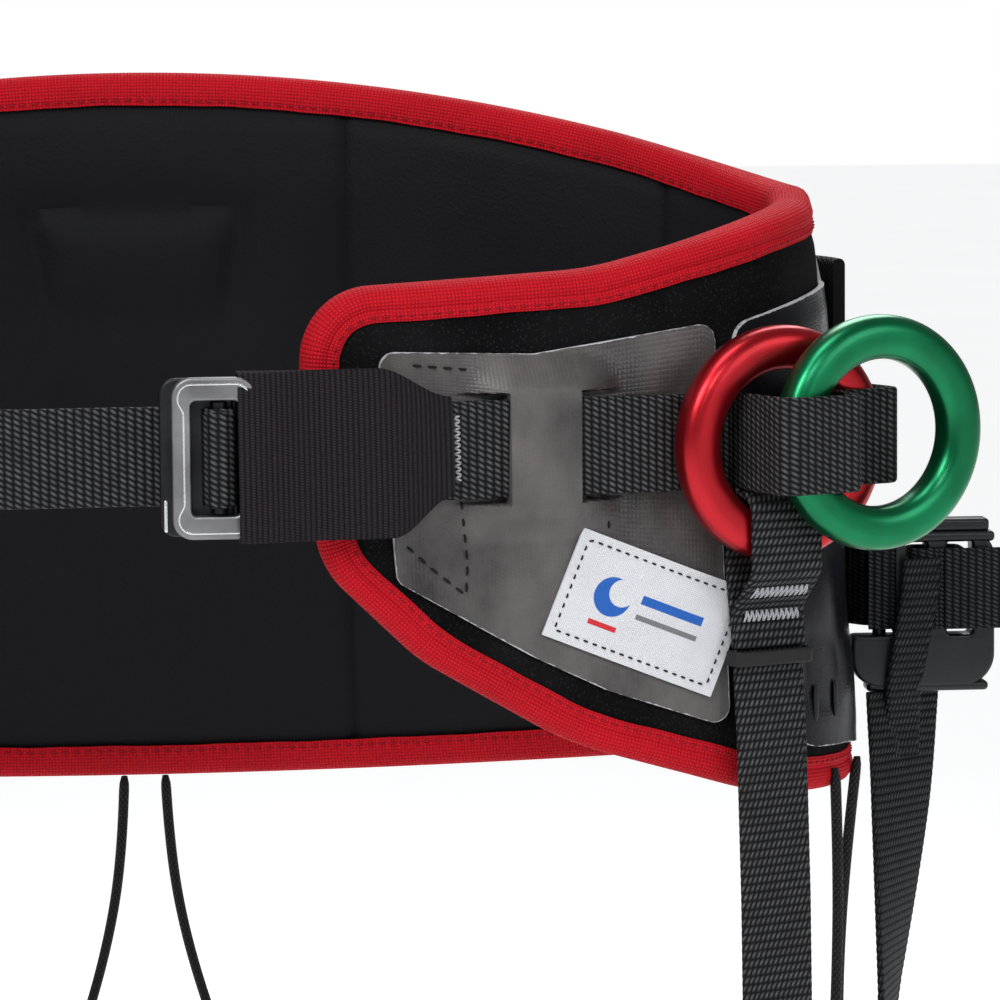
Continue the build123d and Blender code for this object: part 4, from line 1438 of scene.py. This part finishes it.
# %% Ribbed sleeve
def sleeve_section(share, wall):
    """Half height and depth of the tube at each share of its length: open mouth, then flat, then tapered."""
    x = 23.9 + share * 53.5
    taper = smooth(59, 77.6, x)
    top = 21.3 - 7.6 * taper - wall
    bottom = 21.3 - 10.2 * smooth(62, 77.6, x) - wall
    front = 8.5 + 3.9 * (1 - smooth(0.05, 0.42, share)) - 0.5 * taper - wall
    rear = 3.6 - 2.4 * (1 - smooth(0.0, 0.2, share)) + 0.2 * taper + wall
    return x, top, bottom, front, rear


def sleeve_ring(share, turn, wall):
    """Point = belt at x, with height and lift on a boxy oval, |sin|^0.5 and |cos|^0.26, gently wrinkled."""
    x, top, bottom, front, rear = (v[:, None] for v in sleeve_section(share, wall))
    c, s = np.cos(turn)[None], np.sin(turn)[None]
    half = np.where(s > 0, top, bottom)
    z = half * np.sign(s) * np.abs(s) ** 0.5
    sag = 0.35 * np.sin(x / 3.7 + z / 5.1) * np.sin(x / 8.3) + 0.25 * np.cos(z / 6.3 + x / 11)
    lift = (front + rear) / 2 + (front - rear) / 2 * np.sign(c) * np.abs(c) ** 0.26 + sag * (c > 0.15) * 0.6
    run = np.broadcast_to(wing_run(x, 0.0), z.shape)
    return belt(run, z, lift)


turn = np.linspace(0, 2 * np.pi, 120, endpoint=False)
share = np.linspace(0, 1, 110)
outside = sleeve_ring(share, turn, 0.0)
inside = sleeve_ring(share[::-1] * 0.9, turn, 1.0)
sleeve = surface("ribbed_sleeve", np.concatenate([outside, inside], 0), wrap_rows=True, wrap_columns=True)
dress(sleeve, ELASTIC, "hip_belt", ["elastic_sleeve"])
print("sleeve", len(sleeve.data.polygons), "faces")

# %% [markdown]
# ## Leg straps
# Each leg strap loops over the bottom of its red ring, is stitched back on itself with white
# bartacks, passes a rubber keeper and falls to the leg loop. The fall crosses the leg's hinge, so it
# is left on no body.

# %% Leg strap, bartacks and keeper
STRAP_SHIFT = -2.0
LEG_STRAP = (21.0, 1.95)
STRAP_BEND = (-66, -104)
KEEPER_LEVEL = -56.5
KEEPER_LINE = [(0, -4.7), (11.3, -4.7), (11.3, 0.6), (-11.3, 0.6), (-11.3, -4.7), (0, -4.7)]
LOOP_LINE = [(-1.3, -54), (-2.9, -44), (6.4, -34), (6.4, -13.9), (-6.4, -13.9), (-6.4, -28)]
FALL_LINE = [
    (-6.4, -24), (-6.4, -34), (-3.2, -54), (-1.0, -80), (0.8, -120), (2.0, -180), (4.6, -236), (4.6, -304),
]


def strap_line(points, radii):
    """Centreline in the upright plane square to the ring: (out, z) turned into space."""
    line = rounded(points, radii, WEB_STEP)
    return near_ring(STRAP_SHIFT, line[:, 0], line[:, 1])


def hinge_blend(piece, side, high, low):
    """Bake the piece's place into its mesh, after working out the ring's place in plan at the two heights."""
    spot = near_ring(STRAP_SHIFT, 0, 0) * [SIDES[side], 1, 1]
    tuple((spot + [0, 0, high]) * MM)
    tuple((spot + [0, 0, low]) * MM)
    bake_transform(piece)


for side, hand in SIDES.items():
    fall = strap_line(FALL_LINE, [8, 30, 80, 120, 120, 60])
    loop = strap_line(LOOP_LINE, [6, 5, 5, 5])
    across = ALONG * [hand, 1, 1]
    top_part = webbing(f"strap_loop_{side}", mirrored(loop, hand), across, *LEG_STRAP)
    dress(top_part, WEBBING, "hip_belt")
    strap = webbing(f"leg_webbing_{side}", mirrored(fall, hand), across, *LEG_STRAP)
    dress(strap, WEBBING, None, [f"leg_strap_{side}"])
    hinge_blend(strap, side, *STRAP_BEND)
    for number, (height, out) in enumerate(((-39.0, 3.1), (-45.6, -1.3))):
        ends = [near_ring(STRAP_SHIFT + a, out, height) for a in (-8.2, 8.2)]
        path = zigzag(ends[0], ends[1], UP + OUT * (0.1 if number else 0.8), 3.9, 0.72)
        bartack(f"leg_bartack_{side}_{number}", mirrored(path, hand), mirrored(OUT, hand))
    band_line = rounded([near_ring(STRAP_SHIFT + a, b, 0)[:2] for a, b in KEEPER_LINE], [1.2] * 4, 0.5)[:-1]
    keeper_path = mirrored(np.hstack([band_line, np.full((len(band_line), 1), KEEPER_LEVEL)]), hand)
    keeper = sweep(f"rubber_keeper_{side}", keeper_path, UP, flat_profile(4.0, 1.2, 6), closed=True)
    dress(keeper, RUBBER, "hip_belt", [f"strap_keeper_{side}"])
print("leg straps", len(strap.data.polygons), "faces each")

# %% [markdown]
# ## Side strap, adjuster and its tail
# The side strap comes off the hip, wraps the adjuster's bar and ends in a short tail. The adjuster
# is a thick moulded ladder: side rails, two bars and a closed end with soft round edges.

# %% Side straps and adjusters
SIDE_Z = -48.5
SIDE_WEB = (22.5, 1.6)
ADJUSTER_DEPTH = 8.25
SIDE_LINE = [
    plan(128, 8.5), plan(116, 8.5), (195.4, 20.0), (200.5, 12.9), (207.3, 12.9), (207.3, 4.2), (199.9, 4.2),
]
TAIL_LINE = [(220.6, 2.2), (230, 2.2), (241, 3.0), (249, 8)]


def level_line(points, radii, height):
    """Centreline drawn in plan at one height."""
    line = rounded(points, radii, WEB_STEP)
    return np.hstack([line, np.full((len(line), 1), height)])


def adjuster_place(hand):
    """Stand the adjuster upright, thickness along y, on one side or the other."""
    def place(p):
        return mirrored(np.stack([p[:, 0], ADJUSTER_DEPTH - p[:, 2], p[:, 1]], 1), hand)
    return place


HOOK_OUTLINE = rounded(
    [(215, -76), (195.2, -76), (195.2, -61.5), (209.0, -61.5), (209.0, -35.5), (195.2, -35.5), (195.2, -33),
     (235.2, -33), (235.2, -76), (215, -76)], [8, 1.6, 1.2, 1.2, 1.2, 1.0, 7, 9], 0.6)[:-1]
FLANGES = [
    ((215.2, -31.2), (37.0, 3.6), 7.6),
    ((215.2, -34.3), (39.8, 2.9), 9.6),
    ((216.5, -76.0), (34.0, 2.6), 8.0),
]
WRAP_PLAN = [(219, 3.1), (226.0, 3.1), (226.0, 13.4), (212.0, 13.4), (212.0, 3.1), (219, 3.1)]
for side, hand in SIDES.items():
    side_path = mirrored(level_line(SIDE_LINE, [30, 20, 4, 2, 2], SIDE_Z), hand)
    strap = webbing(f"side_webbing_{side}", side_path, UP, *SIDE_WEB)
    dress(strap, WEBBING_DARK, "hip_belt", [f"side_strap_{side}"])
    tail_path = mirrored(level_line(TAIL_LINE, [20, 20], SIDE_Z), hand)
    tail = webbing(f"tail_webbing_{side}", tail_path, UP, *SIDE_WEB)
    dress(tail, WEBBING_DARK, f"adjuster_{side}", [f"adjuster_tail_{side}"])
    windows = [box_loop((212.4, SIDE_Z), (7.4, 26), 1.2), box_loop((225.4, SIDE_Z), (7.0, 26), 1.2)]
    body = plate(f"adjuster_body_{side}", [HOOK_OUTLINE, *windows], 8.5, 1.1, adjuster_place(hand), 4)
    dress(body, PLASTIC, f"adjuster_{side}", [f"adjuster_{side}"])
    for number, (middle, size, depth) in enumerate(FLANGES):
        outline = [box_loop(middle, size, 1.2)]
        flange = plate(f"adjuster_flange_{side}_{number}", outline, depth, 1.1, adjuster_place(hand))
        dress(flange, PLASTIC, f"adjuster_{side}")
    bar_line = [(203.5, 8.5, z) for z in np.linspace(-62.3, -34.5, 16)]
    bar = tube(f"adjuster_bar_{side}", mirrored(bar_line, hand), 1.9, 20)
    dress(bar, PLASTIC, f"adjuster_{side}")
    wrap_path = level_line(WRAP_PLAN, [2.2] * 4, SIDE_Z)[:-1]
    wrap = webbing(f"adjuster_wrap_{side}", mirrored(wrap_path, hand), UP, SIDE_WEB[0], 1.5, closed=True)
    dress(wrap, WEBBING_DARK, f"adjuster_{side}")
print("side straps and adjusters made")

# %% [markdown]
# ## Suspender straps and elastic cords
# A strap hangs from each adjuster to the outside of the leg loop, and three limp elastic cords on
# each side hold the loops up. Both cross the leg's hinge. A cord is one smooth curve through its
# route's points, turned into a tube whose braid follows it.

# %% Suspenders
SUSPENDER = np.array([
    (210, 8, -77), (209.5, 8, -110), (206.5, 8, -160), (202, 8, -215), (199.2, 8, -245), (197.5, 8, -270),
    (196.6, 8, -303),
])
TWIST = (62, 48, 22, 5, 0, 0, 0)
RISE_BEND = (-118, -238)
LEAD = [
    (214.5, 2.4, -40), (213.5, 1.2, -50), (211.0, 1.0, -64), (209.6, 3.6, -75), (209.8, 7.4, -86),
    (209.7, 7.9, -96),
]


def turned(path, heights, degrees):
    """Width directions that turn in plan with height: (sin, cos) of the twist at each point."""
    angle = np.radians(np.interp(-path[:, 2], -np.asarray(heights, float), degrees))
    return np.stack([np.sin(angle), np.cos(angle), np.zeros(len(path))], 1)


for side, hand in SIDES.items():
    line = spline(SUSPENDER, 520)
    across = turned(line, SUSPENDER[:, 2], TWIST)
    strap = webbing(f"suspender_webbing_{side}", mirrored(line, hand), mirrored(across, hand), 25.0, 1.8)
    dress(strap, WEBBING_DARK, None, [f"leg_suspender_{side}"])
    hinge_blend(strap, side, *RISE_BEND)
    lead = spline(np.array(LEAD), 140)
    across = turned(lead, [-40, -96], [78, 62])
    neck = webbing(f"suspender_lead_{side}", mirrored(lead, hand), mirrored(across, hand), 11.5, 2.4)
    dress(neck, WEBBING_DARK, None)
    0.213 * hand
    0.209 * hand
    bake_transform(neck)
print("suspenders", len(strap.data.polygons), "faces each")

# %% Elastic cords
CORD_DIAMETER = 3.0
CORDS = {
    "rear_cord": [(6, 91.6, -110.4), (6.8, 92.4, -131), (11, 92, -158), (20, 88.5, -188), (32, 83, -216),
                  (44, 72.5, -244)],
    "side_cord_front": [(183.6, -39.2, -91), (184.4, -39.6, -116), (184.2, -38.6, -147), (183.0, -36.8, -180),
                        (182.2, -34.6, -213), (181.6, -32.9, -244)],
    "side_cord_rear": [(192.6, -20.5, -91), (189.6, -22.2, -114), (187.3, -22.0, -144), (187.2, -19.5, -178),
                       (187.6, -15.0, -212), (187.2, -11.5, -244)],
}


def nurbs_points(points):
    """Points along the smooth curve whose control points are the route's, read back in metres."""
    curve = bpy.data.curves.new("route", "CURVE")
    curve.dimensions = "3D"
    curve.resolution_u = 16
    route = curve.splines.new("NURBS")
    route.points.add(len(points) - 1)
    for point, place in zip(route.points, points):
        point.co = (*(np.array(place) * MM), 1)
    route.order_u = 3
    route.use_endpoint_u = True
    return curve_mesh(curve)[1]


def braided_tube(name, path):
    """Round cord along points in mm; its end rows draw in so that the ends look cut and sealed."""
    turn = np.linspace(0, 2 * np.pi, 14, endpoint=False)
    ring = CORD_DIAMETER / 2 * np.stack([np.cos(turn), np.sin(turn)], 1)
    girth = np.ones(len(path))
    girth[[0, -1]] = 0.6
    girth[[1, -2]] = 0.93
    return sweep(name, path, np.array([1.0, 0.0, 0.0]), ring[None] * girth[:, None, None])


for side, hand in SIDES.items():
    for cord_name, points in CORDS.items():
        route = nurbs_points(mirrored(points, hand))
        cord = braided_tube(f"elastic_{cord_name}_{side}", route / MM)
        dress(cord, CORD, None, [f"{cord_name}_{side}"])
        hinge_blend(cord, side, *RISE_BEND)

# %% [markdown]
# ## Leg loops
# Each leg loop is a padded cuff, open at the front, with bound rims and webbing round it that joins
# in a black buckle. The pad is a closed cushion that cloth pressure fills out between its rims.

# %% Thigh pads
THIGH = np.array([100.0, 0.0])
PAD_AZIMUTH = (-75.0, 160.0)
PAD_TOP, PAD_BOTTOM = -245.0, -335.0
PAD_RADIUS = 88.0
LEG_WEB_LEVEL = -290.0


def cuff(azimuth, reach, z, hand):
    """Point on an upright cylinder round the thigh: azimuth in degrees from +x, reach in mm."""
    azimuth, reach, z = np.broadcast_arrays(*(np.asarray(v, float) for v in (azimuth, reach, z)))
    angle = np.radians(azimuth)
    points = np.stack([THIGH[0] + reach * np.cos(angle), THIGH[1] + reach * np.sin(angle), z], -1)
    return mirrored(points, hand)


def cuff_gap(azimuth, z):
    """Distance in mm from the cuff's rounded rim."""
    ends = np.radians(np.minimum(azimuth - PAD_AZIMUTH[0], PAD_AZIMUTH[1] - azimuth)) * PAD_RADIUS
    return np.minimum(ends, np.minimum(PAD_TOP - z, z - PAD_BOTTOM))


azimuth, z = np.meshgrid(
    np.linspace(PAD_AZIMUTH[0] + 2, PAD_AZIMUTH[1] - 2, 190),
    np.linspace(PAD_BOTTOM + 3.5, PAD_TOP - 3.5, 46), indexing="ij")
gap = cuff_gap(azimuth, z)
crown = smooth(3, 22, gap)
channel = sum(band(z - height, 2.2) for height in (-268.0, -312.0)) * smooth(6, 20, gap)
for side, hand in SIDES.items():
    outer_skin = cuff(azimuth, 91.0 + 0.8 * crown - 0.8 * channel, z, hand)
    inner_skin = cuff(azimuth, 85.4 - 2.2 * crown + 1.6 * channel, z, hand)
    pad = slab(f"leg_loop_pad_{side}", outer_skin, inner_skin)
    pins = np.clip(np.maximum(1 - smooth(5, 12, gap), channel), 0, 1)
    inflate(pad, np.concatenate([np.maximum(pins, 0.8), pins[:, ::-1]], 1).ravel(), 3.0, 2.0, 12)
    dress(pad, PAD_FABRIC, f"leg_{side}", [f"thigh_pad_{side}"])
print("thigh pads", len(pad.data.vertices), "points each")

# %% Thigh binding, webbing and buckle
CUFF_SECTION = BINDING_SECTION * [0.84, 0.72] + [0, 0.2]
PAD_MIDDLE = sum(PAD_AZIMUTH) / 2
corner_line = [
    (PAD_MIDDLE, PAD_TOP), (PAD_AZIMUTH[1], PAD_TOP), (PAD_AZIMUTH[1], PAD_BOTTOM),
    (PAD_AZIMUTH[0], PAD_BOTTOM), (PAD_AZIMUTH[0], PAD_TOP), (PAD_MIDDLE, PAD_TOP),
]
scale = np.radians(1.0) * PAD_RADIUS
rim_line = rounded([(a * scale, b) for a, b in corner_line], [9] * 4, 1.2)[:-1]
rim_inward = inward(rim_line)
spot = rim_line[:, None] + rim_inward[:, None] * CUFF_SECTION[None, :, :1]
for side, hand in SIDES.items():
    skin = cuff(spot[..., 0] / scale, 92.2 + CUFF_SECTION[:, 1], spot[..., 1], hand)
    tape = surface(f"leg_loop_binding_{side}", skin, wrap_rows=True, wrap_columns=True)
    dress(tape, BINDING, f"leg_{side}", [f"thigh_binding_{side}"])
    seam_spot = rim_line + rim_inward * 6.6
    seam_path = cuff(seam_spot[:, 0] / scale, 92.5, seam_spot[:, 1], hand)
    seam_out = unit(seam_path * [1, 1, 0] - np.array([THIGH[0] * hand, 0, 0]))
    row = stitch_row(f"thigh_stitches_{side}", seam_path, seam_out, 2.6, 1.2, 0.6, 0.25)
    dress(row, THREAD_RED, f"leg_{side}")
    turn = np.linspace(0, 360, 1332, endpoint=False)
    hoop = cuff(turn, 93.7, LEG_WEB_LEVEL, hand)
    strap = webbing(f"leg_loop_webbing_{side}", hoop, UP, WEB_WIDTH, 1.9, closed=True)
    dress(strap, WEBBING, f"leg_{side}", [f"thigh_webbing_{side}"])
print("thigh straps", len(strap.data.polygons), "faces each")

BUCKLE_AZIMUTH = -118.0
BUCKLE_REACH = 95.0 + 1.8


def on_thigh(hand):
    """Set a flat plate on the thigh webbing at the buckle's azimuth: a along, b up, c outwards."""
    def place(p):
        angle = math.radians(BUCKLE_AZIMUTH)
        along = np.array([-math.sin(angle), math.cos(angle), 0])
        outward = np.array([math.cos(angle), math.sin(angle), 0])
        origin = np.array([THIGH[0], THIGH[1], LEG_WEB_LEVEL]) + outward * BUCKLE_REACH
        return mirrored(origin + p[:, :1] * along + p[:, 1:2] * UP + p[:, 2:] * outward, hand)
    return place


for side, hand in SIDES.items():
    buckle = plate(
        f"leg_loop_buckle_{side}",
        [box_loop((0, 0), (34, 38), 5), box_loop((-7.2, 0), (9, 27), 1.2), box_loop((7.2, 0), (9, 27), 1.2)],
        3.6, 0.9, on_thigh(hand))
    dress(buckle, BLACK_STEEL, f"leg_buckle_{side}", [f"leg_buckle_{side}"])
print("leg buckles made")

# %% [markdown]
# ## Back strap
# A wide load strap runs behind the hips, outside the padding, and carries the pull from ring to
# ring. It is ribbed like the other webbing but twice as wide, with two lines of stitching.

# %% Back strap
BACK_START = HIP_RUN + 1.5
run = np.arange(BACK_START, 2 * HALF_RUN - BACK_START, 0.6)
path = belt(run, 15.0, 5.4)
strap = webbing("back_webbing", path, UP, 56.0, 3.4)
dress(strap, WEBBING, "hip_belt", ["back_strap"])
for number, height in enumerate((-9.0, 39.0)):
    spots = run[40:-40:20]
    path = belt(spots, height, 7.35)
    row = stitch_row(f"back_stitches_{number}", path, belt_normal(spots), 3.6, 1.6, 0.8, 0.35)
    dress(row, THREAD_WHITE, "hip_belt")
print("back strap", len(strap.data.polygons), "faces")

# %% [markdown]
# ## Floor
# The saddle hangs a little above a pale studio floor, which glows faintly so that it stays pale
# under the soft light. It runs twenty metres each way, so its far edge is lost in the white behind.

# %% Studio floor
floor_finish = Finish("floor", Roughness=1.0, Emission_Color=(1, 1, 1, 1), Emission_Strength=0.42)
floor_tone = floor_finish.noise(3, 2).ramp(0.2, 0.8)
floor_finish.paint(floor_finish.mix(floor_tone, (0.86, 0.86, 0.86), (0.90, 0.90, 0.90)), 0.9)
FLOOR_LEVEL = -460
FLOOR_HALF = 20000.0
corners = [(x * FLOOR_HALF, y * FLOOR_HALF, FLOOR_LEVEL) for x, y in ((-1, -1), (1, -1), (1, 1), (-1, 1))]
ground = make_object("floor", corners, [(0, 1, 2, 3)])
ground.data.materials.append(floor_finish.material)
print("floor laid")
